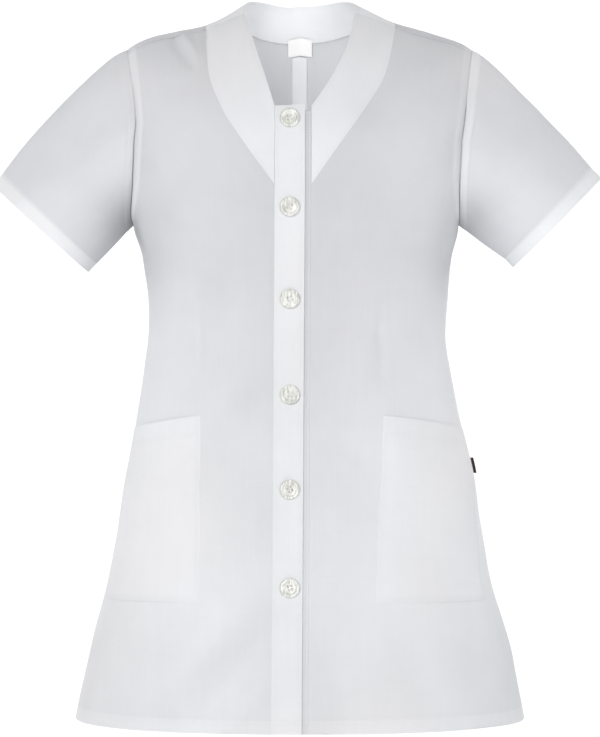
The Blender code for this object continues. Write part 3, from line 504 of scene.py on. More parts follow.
# rows run from the placket up to the shoulder seam, shares from the outer edge inwards
def collarFrontLines(side, rows, shares):
    rows, shares = gridOf(rows, shares)
    start = armpitRow + cut["collarRow"]
    last = topRow - start
    centre, _ = rowHeights(np.minimum(rows + start, chestRow))
    arch = seamRun * np.clip(rows + start - chestRow, 0.0, None) / cut["archRows"]
    outerRun = np.where(rows + start <= chestRow, centre - chestZ, arch)
    foot = frontRunAt(np.array(cut["placketRightX"][0]), np.array(cut["neckFootZ"]))
    innerRun = mix(foot, seamRun, rows / last)
    outerX = frontInnerX(side, outerRun)
    innerX = np.where(rows <= 0.0, outerX, edgeX(collarInner[side], innerRun))
    # both edges end on the corners of the shoulder seam
    end = ease(rows - last + 1.0)
    outerX, innerX = mix(outerX, cut["collarX"], end), mix(innerX, cut["neckX"], end)
    run = mix(outerRun, innerRun, shares)
    return turnAt(side * mix(outerX, innerX, shares), run), run


# columns run from the right shoulder seam (-1) to the left one (1), shares inwards
def collarBackLines(columns, shares):
    columns, shares = gridOf(columns, shares)
    side = np.where(columns < 0.0, -1.0, 1.0)
    outerX, outerRun = neckline(np.abs(columns), cut["collarX"], cut["collarBackY"])
    innerX, innerRun = neckline(np.abs(columns), cut["neckX"], cut["neckBackY"])
    run = mix(outerRun, innerRun, shares)
    return turnAt(side * mix(outerX, innerX, shares), run, False), run


# how the cloth lies on that surface

drape = {
    # soft folds as (x0, z0, x1, z1, reach, height): outwards is positive
    "frontFolds": (
        (-0.022, -0.664, -0.120, -0.776, 0.017, 0.0044),
        (-0.030, -0.718, -0.084, -0.790, 0.013, -0.0028),
        (-0.034, -0.612, -0.130, -0.728, 0.018, -0.0032),
        (-0.165, -0.700, -0.172, -0.775, 0.010, 0.0026),
        (-0.045, -0.410, -0.092, -0.440, 0.015, -0.0022),
        (0.080, -0.560, 0.045, -0.640, 0.020, -0.0028),
        (0.150, -0.690, 0.170, -0.745, 0.022, 0.0035),
        (0.152, -0.090, 0.148, -0.170, 0.026, 0.0024),
        (-0.152, -0.090, -0.148, -0.180, 0.026, 0.0024),
        (-0.139, -0.036, -0.118, -0.070, 0.006, -0.0028),
        (-0.128, -0.030, -0.112, -0.058, 0.005, 0.0022),
        (-0.103, -0.026, -0.100, -0.064, 0.005, -0.0020),
        (0.120, -0.030, 0.136, -0.062, 0.007, -0.0010),
        (-0.160, -0.228, -0.128, -0.252, 0.008, -0.0012),
        (0.158, -0.226, 0.120, -0.246, 0.009, -0.0011),
        (-0.062, -0.300, -0.096, -0.322, 0.011, -0.0009),
        (0.052, -0.340, 0.094, -0.366, 0.010, -0.0009),
        (0.040, -0.475, 0.074, -0.500, 0.010, -0.0010),
    ),
    "backFolds": (
        (0.060, -0.350, 0.110, -0.395, 0.024, -0.0028),
        (-0.055, -0.365, -0.105, -0.400, 0.024, -0.0026),
        (0.085, -0.560, 0.105, -0.730, 0.026, 0.0050),
        (-0.075, -0.590, -0.095, -0.735, 0.026, 0.0045),
        (0.138, -0.120, 0.124, -0.220, 0.028, -0.0026),
        (-0.138, -0.120, -0.122, -0.210, 0.028, -0.0024),
        (0.150, -0.226, 0.112, -0.262, 0.009, -0.0013),
        (-0.154, -0.228, -0.120, -0.258, 0.008, -0.0012),
        (0.030, -0.330, 0.072, -0.352, 0.010, -0.0012),
        (-0.036, -0.345, -0.080, -0.362, 0.011, -0.0010),
        (0.044, -0.640, 0.050, -0.745, 0.014, -0.0018),
        (-0.036, -0.660, -0.040, -0.750, 0.013, -0.0016),
    ),
    "sleeveFolds": (
        (0.200, -0.236, 0.232, -0.214, 0.009, -0.0022),
        (0.218, -0.252, 0.256, -0.226, 0.010, -0.0012),
        (0.205, -0.110, 0.262, -0.170, 0.018, -0.0014),
        (0.250, -0.150, 0.285, -0.215, 0.016, 0.0012),
        (-0.202, -0.240, -0.238, -0.218, 0.009, -0.0020),
        (-0.214, -0.110, -0.262, -0.175, 0.018, -0.0014),
        (-0.258, -0.160, -0.290, -0.220, 0.016, 0.0012),
        (-0.190, -0.175, -0.206, -0.215, 0.008, -0.0014),
    ),
    "ripples": 14,                  # slow waves that keep large areas from being even
    "rippleSeed": 11,
    "rippleHeight": 0.00034,
    "rippleLengths": (0.045, 0.160),
    "dartDepth": 0.0016,
    "dartReach": 0.0035,
    "dartZ": (-0.300, -0.375, -0.450),
    # the armhole seam: flat on top of the shoulder, drawn in below by the sleeve's weight
    "sleevePull": 1.1,
    "shoulderFlat": 0.65,
    "armholeFrom": (0.150, 0.012),  # where it starts, and the way to its full effect
    "armholeFoot": (-0.245, 0.020),
    "pullFrom": (-0.072, 0.060),
}
rippleDice = np.random.default_rng(drape["rippleSeed"])
rippleWays = rippleDice.normal(size=(drape["ripples"], 3))
rippleWays = rippleWays / np.linalg.norm(rippleWays, axis=1, keepdims=True)
rippleSizes = rippleDice.uniform(*drape["rippleLengths"], drape["ripples"])
rippleStarts = rippleDice.uniform(0.0, 2.0 * np.pi, drape["ripples"])


def rippleHeight(points):
    total = np.zeros(points.shape[:-1])
    for way, size, start in zip(rippleWays, rippleSizes, rippleStarts):
        total = total + size * np.sin(points @ way * 2.0 * np.pi / size + start)
    return total * drape["rippleHeight"] / np.mean(rippleSizes)


def foldHeight(points, folds):
    total = np.zeros(points.shape[:-1])
    x, z = points[..., 0], points[..., 2]
    for x0, z0, x1, z1, reach, height in folds:
        lineX, lineZ = x1 - x0, z1 - z0
        share = np.clip(((x - x0) * lineX + (z - z0) * lineZ) / (lineX ** 2 + lineZ ** 2), 0.0, 1.0)
        gap = np.hypot(x - x0 - share * lineX, z - z0 - share * lineZ) / reach
        # a fold is deepest in the middle and dies out at both ends
        total = total + height * np.exp(-gap * gap) * (0.55 + 0.45 * np.sin(np.pi * share))
    return total


def clothHeight(points):
    back = points[..., 1] > 0.0
    folds = np.where(back, foldHeight(points, drape["backFolds"]), foldHeight(points, drape["frontFolds"]))
    return folds + rippleHeight(points)


def lapDepth(x):
    return cut["lapDepth"] * ease((cut["lapEndX"] - x) / (cut["lapEndX"] - cut["placketLeftX"][-1]))


# a pinched line down the middle of a fish-eye dart
def dartCrease(side, points):
    top, waist, foot = drape["dartZ"]
    z = points[..., 2]
    gap = (np.abs(points[..., 0]) - dartLine[side](z)) / drape["dartReach"]
    end = np.where(z > waist, top, foot)
    along = ease((end - z) / (end - waist))
    return np.where((z < top) & (z > foot), -drape["dartDepth"] * along * np.exp(-np.abs(gap) ** 1.3), 0.0)


# cloth pieces
# A piece is a grid of points; its edges are named first and last row, first and last column.

clothMake = {
    "thickness": 0.0005,
    "doubled": 0.0010,
    "grid": 0.0036,                 # size of a cell in the middle of a piece
    "samples": (400, 200),          # along the rows and columns, to measure the cloth's length
    "nearEdge": (0.0, 0.0004, 0.0010, 0.0018, 0.0027, 0.0038, 0.0056),
    "seamGap": 0.00030,
    "rimBulge": 0.00022,
    "tuck": 0.0012,                 # how far a panel goes on under a band
    "rollWidth": 0.0024,            # the cloth turns in at a seam
    "rollDepth": 0.0009,
    "ridgeWidth": 0.0105,           # the allowance pressed under the cloth
    "ridgeHeight": 0.00045,
    "ridgeSlope": 0.0024,
    "hemFade": 0.0016,
    "grooveDepth": 0.00018,         # the line that topstitching presses in
    "grooveReach": 0.0009,
    "lineEnd": 0.003,
    # painted shade beside seams and stitch lines reaches this far
    "seamShadow": 0.010,            # how far the shade of a seam and of a stitch line reaches
    "stitchShadow": 0.006,
    "stitchStart": 0.0012,          # a line of stitches starts and ends this far from the edges
}
edgeNames = ("firstColumn", "lastColumn", "firstRow", "lastRow")
stitchRuns = []                     # (points, normals) of every line of topstitching


# the same value for several edges
def alongEdges(value, *edges):
    return tuple((edge, value) for edge in edges)


def spread(length, step):
    near = [place for place in clothMake["nearEdge"] if place < 0.4 * length]
    count = max(int(round((length - 2.0 * near[-1]) / step)), 1)
    middle = np.linspace(near[-1], length - near[-1], count + 1)
    return np.concatenate([near[:-1], middle, length - np.array(near[:-1][::-1])])


def lengthsAlong(points, axis):
    steps = np.linalg.norm(np.diff(points, axis=axis), axis=-1)
    start = np.zeros_like(np.take(steps, [0], axis=axis))
    return np.concatenate([start, np.cumsum(steps, axis=axis)], axis=axis)


# even cells in metres, whatever the rows and columns of the cut are
def evenGrid(lines, rowRange, columnRange, step=None):
    step = step or clothMake["grid"]
    rowCount, columnCount = clothMake["samples"]
    rows, columns = np.linspace(*rowRange, rowCount), np.linspace(*columnRange, columnCount)
    middle = 0.5 * (columnRange[0] + columnRange[1])
    up = lengthsAlong(bodyPoint(*lines(rows, [middle])), 0)[:, 0]
    across = lengthsAlong(bodyPoint(*lines([0.5 * (rowRange[0] + rowRange[1])], columns)), 1)[0]
    rowPlaces = np.interp(spread(up[-1], step), up, rows)
    columnPlaces = np.interp(spread(across[-1], step), across, columns)
    return rowPlaces, columnPlaces


def surfaceNormals(points, ring=False):
    if ring:
        across = np.roll(points, -1, axis=1) - np.roll(points, 1, axis=1)
    else:
        across = np.gradient(points, axis=1)
    normals = np.cross(across, np.gradient(points, axis=0))
    return normals / np.maximum(np.linalg.norm(normals, axis=-1, keepdims=True), 1e-12)


# the four ways to the edges, in metres along the cloth
def edgeWays(points, ring=False):
    up = lengthsAlong(points, 0)
    closed = np.concatenate([points, points[:, :1]], axis=1) if ring else points
    across = lengthsAlong(closed, 1)
    return {
        "firstRow": up, "lastRow": up[-1:] - up,
        "firstColumn": across[:, :points.shape[1]],
        "lastColumn": (across[:, -1:] - across)[:, :points.shape[1]],
    }


def sleevePull(points):
    x, z = np.abs(points[..., 0]), points[..., 2]
    (fromX, wayX), (footZ, wayZ) = drape["armholeFrom"], drape["armholeFoot"]
    pullZ, wayDown = drape["pullFrom"]
    atArm = ease((x - fromX) / wayX) * ease((z - footZ) / wayZ)
    low = ease((pullZ - z) / wayDown)
    return 1.0 + atArm * (drape["sleevePull"] * low - drape["shoulderFlat"] * (1.0 - low))


# seams: (edge, depth as a share of the usual one) of edges that turn in
# ridges: (edge, how doubled it looks) of edges with the allowance under them
# stitches: (edge, way from it, and where it runs) of the topstitching
# doubled: (edge, width) of turned hems; tucked: edges that go on under a band
# layers is 0 for single cloth and 1 for doubled cloth, shade is painted shade that darkens the cloth and
# painted light where it is negative
def shapeCloth(points, normals, heights, seams=(), ridges=(), stitches=(), doubled=(), tucked=(),
               layers=0.0, shade=0.0, ring=False):
    ways = edgeWays(points, ring)
    heights = heights.copy()
    layers = np.full(heights.shape, layers)
    # near gathers the painted shade beside seams and stitch lines
    near = np.zeros(heights.shape)
    pull = sleevePull(points)
    for edge, doubling in ridges:
        band = ease((clothMake["ridgeWidth"] - ways[edge]) / clothMake["ridgeSlope"] + 0.5)
        heights += clothMake["ridgeHeight"] * band * pull
        layers = np.maximum(layers, doubling * band)
    for edge, width in doubled:
        layers = np.maximum(layers, ease((width - ways[edge]) / clothMake["hemFade"] + 0.5))
    for edge, roll in seams:
        inside = np.clip(1.0 - ways[edge] / clothMake["rollWidth"], 0.0, 1.0)
        heights -= roll * clothMake["rollDepth"] * pull * inside ** 2
        near = np.maximum(near, roll * pull * ease(1.0 - ways[edge] / clothMake["seamShadow"]))
    for edge, way, *part in stitches:
        gap = (ways[edge] - way) / clothMake["grooveReach"]
        along = ways["firstRow" if "Column" in edge else "firstColumn"]
        low, high = part or (0.0, 9.0)
        share = ease((along - low) / clothMake["lineEnd"] + 1.0) * ease((high - along) / clothMake["lineEnd"])
        heights -= clothMake["grooveDepth"] * share * np.exp(-gap * gap)
        shadow = ease(1.0 - np.abs(ways[edge] - way) / clothMake["stitchShadow"])
        near = np.maximum(near, 0.4 * share * shadow)
    shaped = points + normals * heights[..., None]
    # every edge stays open by a hair's breadth, or goes on under a band
    for edge in ("firstRow", "lastRow", "firstColumn", "lastColumn"):
        if ring and "Column" in edge:
            continue
        lines = shaped if "Row" in edge else shaped.swapaxes(0, 1)
        place, inner = (0, 1) if "first" in edge else (-1, -2)
        way = lines[inner] - lines[place]
        gap = -clothMake["tuck"] if edge in tucked else clothMake["seamGap"]
        lines[place] += gap * way / np.linalg.norm(way, axis=-1, keepdims=True)
    out = surfaceNormals(shaped, ring)
    if np.sum(out * normals) < 0.0:
        out = -out
    near = near + shade
    piece = {"points": shaped, "normals": out, "ways": ways, "layers": layers, "near": near, "ring": ring}
    for edge, way, *part in stitches:
        addStitches(piece, edge, way, *part)
    return piece


# the line on a piece that keeps its way from an edge
def lineNear(piece, edge, way):
    along = piece["ways"][edge]
    points, normals = piece["points"], piece["normals"]
    if "Column" in edge:
        along, points, normals = along.T, points.swapaxes(0, 1), normals.swapaxes(0, 1)
    if "last" in edge:
        along, points, normals = along[::-1], points[::-1], normals[::-1]
    line, ups = [], []
    for k in range(along.shape[1]):
        if along[-1, k] < way:
            continue
        place = np.interp(way, along[:, k], np.arange(len(along)))
        low = min(int(place), len(along) - 2)
        line.append(mix(points[low, k], points[low + 1, k], place - low))
        ups.append(mix(normals[low, k], normals[low + 1, k], place - low))
    return np.array(line), np.array(ups)


def addStitches(piece, edge, way, low=0.0, high=9.0):
    line, ups = lineNear(piece, edge, way)
    if piece["ring"] and "Row" in edge:
        line, ups = np.concatenate([line, line[:1]]), np.concatenate([ups, ups[:1]])
    else:
        lengths, start = lengthsAlong(line, 0), clothMake["stitchStart"]
        keep = (lengths > low + start) & (lengths < min(high, lengths[-1] - start))
        line, ups = line[keep], ups[keep]
    stitchRuns.append((line, ups))


# a closed shell: the outer face, the inner face and a rounded edge between them
def shellObject(name, piece, thickness, material):
    outer, normals, ring = piece["points"], piece["normals"], piece["ring"]
    rows, columns = outer.shape[:2]
    depth = np.broadcast_to(thickness, (rows, columns))
    inner = outer - normals * depth[..., None]
    cells = columns if ring else columns - 1
    count = rows * columns
    i, j = np.meshgrid(np.arange(rows - 1), np.arange(cells), indexing="ij")
    a, b = i * columns + j, i * columns + (j + 1) % columns
    c, d = b + columns, a + columns
    top = np.stack([a, b, c, d], axis=-1).reshape(-1, 4)
    turned = np.sum(np.cross(outer[0, 1] - outer[0, 0], outer[1, 0] - outer[0, 0]) * normals[0, 0]) < 0.0
    loops = []
    if ring:
        loops.append(np.arange(columns))
        loops.append(((rows - 1) * columns + np.arange(columns))[::-1])
    else:
        right = np.arange(rows) * columns + columns - 1
        left = (np.arange(rows) * columns)[::-1]
        last = ((rows - 1) * columns + np.arange(columns))[::-1]
        loops.append(np.concatenate([np.arange(columns), right[1:], last[1:], left[1:-1]]))
    points = np.concatenate([outer.reshape(-1, 3), inner.reshape(-1, 3)])
    flatNormals = normals.reshape(-1, 3)
    faces = [top, top[:, ::-1] + count]
    source = np.concatenate([np.arange(count), np.arange(count)])
    for loop in loops:
        after = np.roll(loop, -1)
        # the middle of the edge stands out a little, so the fold looks round
        side = points[after] - points[np.roll(loop, 1)]
        away = np.cross(side, flatNormals[loop])
        away = away / np.maximum(np.linalg.norm(away, axis=-1, keepdims=True), 1e-12)
        middle = 0.5 * (points[loop] + points[loop + count])
        bulge = np.minimum(0.4 * depth.reshape(-1)[loop][:, None], clothMake["rimBulge"])
        extra = middle + away * bulge * (-1.0 if turned else 1.0)
        base = len(points)
        points = np.concatenate([points, extra])
        source = np.concatenate([source, loop])
        ids = base + np.arange(len(loop))
        nextIds = np.roll(ids, -1)
        faces.append(np.stack([after, loop, ids, nextIds], axis=-1))
        faces.append(np.stack([nextIds, ids, loop + count, after + count], axis=-1))
    faces = np.concatenate(faces)
    if turned:
        faces = faces[:, ::-1]
    ways = piece["ways"]
    uv = np.stack([ways["firstColumn"], ways["firstRow"]], axis=-1).reshape(-1, 2)[source][faces]
    if ring:
        # the last cell of a ring closes on the full way round
        whole = (ways["firstColumn"] + ways["lastColumn"]).reshape(-1)[source][faces]
        closing = np.ptp(uv[..., 0], axis=1) > 0.5 * whole.max(axis=1)
        uv[..., 0] += np.where(closing[:, None] & (uv[..., 0] < 0.5 * whole), whole, 0.0)
    return meshObject(name, points, faces, material, uv, {
        "layers": piece["layers"].reshape(-1)[source], "shade": piece["near"].reshape(-1)[source]})


def meshObject(name, points, faces, material, uv=None, values=None):
    mesh = bpy.data.meshes.new(name)
    mesh.from_pydata([tuple(p) for p in points], [], [tuple(int(k) for k in f) for f in faces])
    mesh.materials.append(material)
    mesh.shade_smooth()
    if uv is not None:
        layer = mesh.uv_layers.new(name="clothUV")
        layer.data.foreach_set("uv", np.asarray(uv, np.float32).ravel())
    for key, value in (values or {}).items():
        mesh.attributes.new(key, "FLOAT", "POINT").data.foreach_set("value", np.asarray(value, np.float32))
    return addObject(name, mesh)


# what each finished piece is to the part
def handIn(thing, replaced):
    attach(thing, "root")
    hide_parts(replaced)


# materials

looks = {
    # single cloth by height, with painted shade: it looks darkest over the widest hollow
    "shadedSingleColours": (
        (-0.77, (0.780, 0.786, 0.799)),
        (-0.63, (0.803, 0.809, 0.822)),
        (-0.46, (0.765, 0.770, 0.785)),
        (-0.27, (0.688, 0.693, 0.718)),
        (-0.15, (0.688, 0.691, 0.711)),
        (-0.04, (0.683, 0.685, 0.702)),
    ),
    "doubleColour": (0.822, 0.825, 0.839),
    "tints": ((0.980, 0.994, 1.0, 1.0), (1.0, 0.990, 0.992, 1.0)),
    "roughness": 0.86,
    # how much one unit of the shade attribute darkens the cloth: painted shade, and painted light where
    # negative
    "seamShade": 0.045,
    # painted shade on the middle of the fronts
    "middleShade": 0.090,           # the middle of the fronts lies over the widest hollow
    "middleReach": 0.135,
    # painted light on the middle of the backs, seen inside the neck
    "backShade": -0.015,
    # painted light on the sides, for the light behind them that real cloth lets through, by height
    "glowZ": (-0.78, -0.70, -0.62, -0.56, -0.40, -0.32, -0.21, -0.12, -0.04),
    "sideGlow": {-1: (0.0, 0.0, 0.02, 0.045, 0.03, 0.085, 0.085, 0.03, 0.0),
                 1: (-0.045, -0.035, 0.02, 0.07, 0.075, 0.08, 0.075, 0.0, -0.03)},
    "glowFrom": 0.075,
    "glowReach": 0.085,
    # painted light on each sleeve and on the back neck band
    "sleeveGlow": {-1: 0.045, 1: 0.065},
    "neckGlow": 0.030,
    # painted shadow under each arm, on the body's side
    "armpitShade": {-1: 0.30, 1: 0.55},
    "armpitSpot": (0.005, 0.020),   # its width and height
    "armpitSpotZ": -0.251,
    # painted shade where each sleeve starts at the armpit
    "rootShade": {-1: 0.22, 1: 0.26},
    "rootPlace": (0.180, -0.236),
    "rootReach": 0.028,
    # painted shade on the sleeve's underside
    "underArmShade": {-1: 6.5, 1: 2.0},  # the sleeve's underside, out to where it catches the light
    "underArmTurn": 0.15,
    "underArmEnd": (0.275, 0.075),
    # painted shadow of the buttonhole band on the button band beside it
    "lapShade": 0.075,              # beside the upper band
    "lapFade": 0.007,
    # painted shade on the front bands, and painted light on the pocket on the wearer's right
    "bandShade": 0.5,
    "pocketShade": {-1: -0.5, 1: 0.0},
    "sheen": 0.08,
    # how often threads thicken across and along the cloth, and how much that shows
    "slubs": (((420.0, 16.0), 0.034), ((14.0, 380.0), 0.020), ((90.0, 7.0), 0.020)),
    "weave": 0.00045,               # from one thread to the next
    "weaveBump": 0.50,
    "threadRelief": 0.00006,
    "grain": 0.012,
    "mottle": (0.965, 1.03),        # darkest and lightest of the uneven tone
    "crumple": 0.0007,
    "tapeCrumple": 0.0003,
    "threadColour": (0.86, 0.87, 0.88),
    "pearlColour": (0.850, 0.850, 0.815),
    "pearlStreak": (0.560, 0.558, 0.505),
    "pearlStretch": (300.0, 120.0, 75.0),
    "labelColour": (0.985, 0.98, 0.97),
    "tagColour": (0.045, 0.022, 0.020),
}


def objectPlace(tree):
    return addNode(tree, "ShaderNodeTexCoord").outputs["Object"]


def clothPlace(tree):
    return addNode(tree, "ShaderNodeUVMap", uv_map="clothUV").outputs["UV"]


def readAttribute(tree, name):
    return addNode(tree, "ShaderNodeAttribute", attribute_name=name).outputs["Fac"]


def splitAxes(tree, vector):
    return addNode(tree, "ShaderNodeSeparateXYZ", {0: vector}).outputs


def stretched(tree, vector, factors):
    return addNode(tree, "ShaderNodeVectorMath", {0: vector, 1: factors}, operation="MULTIPLY").outputs[0]


def noise(tree, place, scale, detail, roughness=0.5, distortion=0.0):
    return addNode(tree, "ShaderNodeTexNoise", {
        "Vector": place, "Scale": scale, "Detail": detail, "Roughness": roughness,
        "Distortion": distortion}).outputs["Fac"]


def mapRange(tree, value, fromMin, fromMax, toMin=0.0, toMax=1.0):
    return addNode(tree, "ShaderNodeMapRange", {
        "Value": value, "From Min": fromMin, "From Max": fromMax, "To Min": toMin,
        "To Max": toMax}).outputs["Result"]


def mixColours(tree, share, first, second):
    return addNode(tree, "ShaderNodeMix", {0: share, 6: first, 7: second}, data_type="RGBA").outputs[2]


def colourRamp(tree, share, stops):
    ramp = addNode(tree, "ShaderNodeValToRGB", {"Fac": share})
    marks = ramp.color_ramp.elements
    for mark, (place, colour) in ((marks[0], stops[0]), (marks[1], stops[-1])):
        mark.position, mark.color = place, (*colour, 1.0)
    for place, colour in stops[1:-1]:
        marks.new(place).color = (*colour, 1.0)
    return ramp.outputs["Color"]


def bumpNormal(tree, height, strength):
    return addNode(tree, "ShaderNodeBump", {
        "Height": height, "Strength": strength, "Distance": 1.0}).outputs["Normal"]


# two crossed sets of threads and a soft crumple, both as height
def weaveHeight(tree, spacing, crumple):
    axes = splitAxes(tree, clothPlace(tree))
    threads = [doMath(tree, "SINE", doMath(tree, "MULTIPLY", axes[axis], 2.0 * math.pi / spacing))
               for axis in ("X", "Y")]
    crossed = doMath(tree, "MULTIPLY", *threads)
    soft = noise(tree, objectPlace(tree), 70.0, 3.0, 0.55)
    height = doMath(tree, "ADD", doMath(tree, "MULTIPLY", crossed, looks["threadRelief"]),
                    doMath(tree, "MULTIPLY", soft, crumple))
    return height, crossed


# thick and thin places in the threads, long in one direction
def slubTone(tree, stretch, strength):
    slub = noise(tree, stretched(tree, clothPlace(tree), (*stretch, 0.0)), 1.0, 2.0)
    return doMath(tree, "MULTIPLY", doMath(tree, "SUBTRACT", slub, 0.5), strength)


def poplinPaint(tree):
    height, crossed = weaveHeight(tree, looks["weave"], looks["crumple"])
    place = objectPlace(tree)
    # painted shade on single cloth for the dark inside that it lets through a little; doubled cloth hides it
    heights = [z for z, _ in looks["shadedSingleColours"]]
    level = mapRange(tree, splitAxes(tree, place)["Z"], heights[0], heights[-1])
    stops = [((z - heights[0]) / (heights[-1] - heights[0]), colour) for z, colour in looks["shadedSingleColours"]]
    colour = mixColours(tree, readAttribute(tree, "layers"), colourRamp(tree, level, stops),
                        (*looks["doubleColour"], 1.0))
    # uneven tone, as cloth has over a large area, and a faint grain
    tone = mapRange(tree, noise(tree, place, 9.0, 4.0, 0.6), 0.3, 0.7, *looks["mottle"])
    tone = doMath(tree, "MULTIPLY_ADD", crossed, looks["grain"], tone)
    for stretch, strength in looks["slubs"]:
        tone = doMath(tree, "ADD", tone, slubTone(tree, stretch, strength))
    # painted shade from the shade attribute at seams, stitch lines, the middle of the fronts and under the
    # arms, and painted light where it is negative
    shade = doMath(tree, "MULTIPLY", readAttribute(tree, "shade"), -looks["seamShade"])
    tone = doMath(tree, "ADD", tone, shade)
    tint = mapRange(tree, noise(tree, place, 5.5, 1.0, 0.4), 0.35, 0.65)
    colour = stretched(tree, colour, mixColours(tree, tint, *looks["tints"]))
    colour = addNode(tree, "ShaderNodeVectorMath", {0: colour, "Scale": tone}, operation="SCALE").outputs[0]
    return {"Base Color": colour, "Normal": bumpNormal(tree, height, looks["weaveBump"]),
            "Roughness": looks["roughness"], "Sheen Weight": looks["sheen"], "Sheen Roughness": 0.5,
            "Specular IOR Level": 0.25}


def pearlPaint(tree):
    # streaks that run up and down, uneven in width
    place = stretched(tree, objectPlace(tree), looks["pearlStretch"])
    streaks = noise(tree, place, 1.0, 2.0, 0.5, 1.6)
    colour = colourRamp(tree, streaks, ((0.36, looks["pearlStreak"]), (0.60, looks["pearlColour"])))
    return {"Base Color": colour, "Roughness": 0.24, "Coat Weight": 0.3, "Coat Roughness": 0.12}


# a woven tape with painted shade on its sunken threads
def tapePaint(colour, spacing, roughness, sunkenShadeFactor):
    def paint(tree):
        height, crossed = weaveHeight(tree, spacing, looks["tapeCrumple"])
        share = doMath(tree, "MULTIPLY_ADD", crossed, 0.5, 0.5)
        woven = mixColours(tree, share, (*[sunkenShadeFactor * c for c in colour], 1.0), (*colour, 1.0))
        return {"Base Color": woven, "Normal": bumpNormal(tree, height, 0.4), "Roughness": roughness}
    return paint


def threadPaint(tree):
    colour = looks["threadColour"]
    ply = noise(tree, objectPlace(tree), 900.0, 2.0)
    return {"Base Color": mixColours(tree, ply, (*[0.9 * c for c in colour], 1.0), (*colour, 1.0)),
            "Roughness": 0.6}


poplin = newMaterial("whitePoplin", poplinPaint)
pearl = newMaterial("pearl", pearlPaint)
thread = newMaterial("sewingThread", threadPaint)
labelSatin = newMaterial("labelSatin", tapePaint(looks["labelColour"], 0.0005, 0.5, 0.95))
tagTape = newMaterial("darkTape", tapePaint(looks["tagColour"], 0.0008, 0.8, 0.6))
print("materials ready")


# the panels

# painted shade on single cloth over the widest hollow and painted light towards the sides
def frontShade(side, points):
    away, z = np.abs(points[..., 0]), points[..., 2]
    glow = np.interp(z, looks["glowZ"], looks["sideGlow"][side])
    middle = np.where(points[..., 1] < 0.0, looks["middleShade"], looks["backShade"])
    tone = middle * (1.0 - ease(away / looks["middleReach"]))
    tone = tone - glow * ease((away - looks["glowFrom"]) / looks["glowReach"])
    # painted shadow under the arm, where the sleeve keeps the light off the cloth
    wide, high = looks["armpitSpot"]
    under = np.exp(-((halfWidth(z) - away) / wide) ** 2 - ((z - looks["armpitSpotZ"]) / high) ** 2)
    return (tone + looks["armpitShade"][side] * under) / looks["seamShade"]


def layPanel(lines, rowRange, columnRange, raised=0.0, side=0, lap=False, dart=False, toned=False,
             lift=None, step=None, **sewn):
    rows, columns = evenGrid(lines, rowRange, columnRange, step)
    turn, run = lines(rows, columns)
    points, normals = bodyPoint(turn, run), bodyNormal(turn, run)
    heights = clothHeight(points) + raised
    if lap:
        heights = heights - lapDepth(points[..., 0])
    if dart:
        heights = heights + dartCrease(side, points)
    if toned:
        sewn["shade"] = frontShade(side, points)
    # painted shadow of the buttonhole band on the button band beside it
    if toned == "lapped":
        inLap = cut["placketLeftX"][1] - points[..., 0] + placketDrift(points[..., 2])
        fade = ease(inLap / looks["lapFade"])
        sewn["shade"] = sewn["shade"] + looks["lapShade"] / looks["seamShade"] * fade
    if lift is not None:
        points = points + lift(rows[:, None], columns[None, :])
    return shapeCloth(points, normals, heights, **sewn)


def finishCloth(name, piece, replaced):
    depth = mix(clothMake["thickness"], clothMake["doubled"], piece["layers"] ** 3)
    handIn(shellObject(name, piece, depth, poplin), replaced)


sides = ((-1, "Right", "right"), (1, "Left", "left"))
hem = {
    "width": 0.0140,
    "stitch": 0.0128,
    "ventStitch": 0.0052,
    "ventHeight": 0.050,
    "backStitch": 0.0065,           # beside the centre back seam
}

for side, name, node in sides:
    front = layPanel(
        lambda rows, columns: frontLines(side, rows, columns), (0, topRow), (0, cut["sideColumn"]),
        side=side, lap=side > 0, dart=True, toned=True,
        seams=(("firstColumn", 0.12 if side < 0 else 0.0), ("lastColumn", 1.0), ("lastRow", 1.3)),
        tucked=("firstColumn",), ridges=(("lastColumn", 0.62 if side < 0 else 0.25),),
        doubled=(("firstRow", hem["width"]),),
        stitches=(("firstRow", hem["stitch"]), ("lastColumn", hem["ventStitch"], 0.0, hem["ventHeight"])))
    finishCloth("front" + name, front, "front_" + node)
    back = layPanel(
        lambda rows, columns: backLines(side, rows, columns), (0, backTopRow), (0, cut["backColumns"]),
        side=side, toned=True, seams=(("firstColumn", 0.8), ("lastColumn", 1.0), ("lastRow", 1.0)),
        ridges=(("firstColumn", 0.42), ("lastColumn", 0.42)),
        doubled=(("firstRow", hem["width"]),),
        stitches=(("firstRow", hem["stitch"]), ("firstColumn", hem["backStitch"]),
                  ("lastColumn", hem["ventStitch"], 0.0, hem["ventHeight"])))
    finishCloth("back" + name, back, "back_" + node)
print("fronts and backs laid")

trim = {
    "proud": 0.0004,                # bands lie this much on top of the panels
    "underProud": -0.0013,          # the button band, under the buttonhole band
    "underRise": 3.78,
    "edgeStitch": 0.0021,
    "pocketRaise": 0.0011,
    "pocketMouth": 0.0020,
    "pocketHem": 0.0200,
    "pocketStitch": 0.0188,
    "pocketFold": 0.0080,
    "pocketGrid": 0.0030,
    "grid": 0.0028,
}

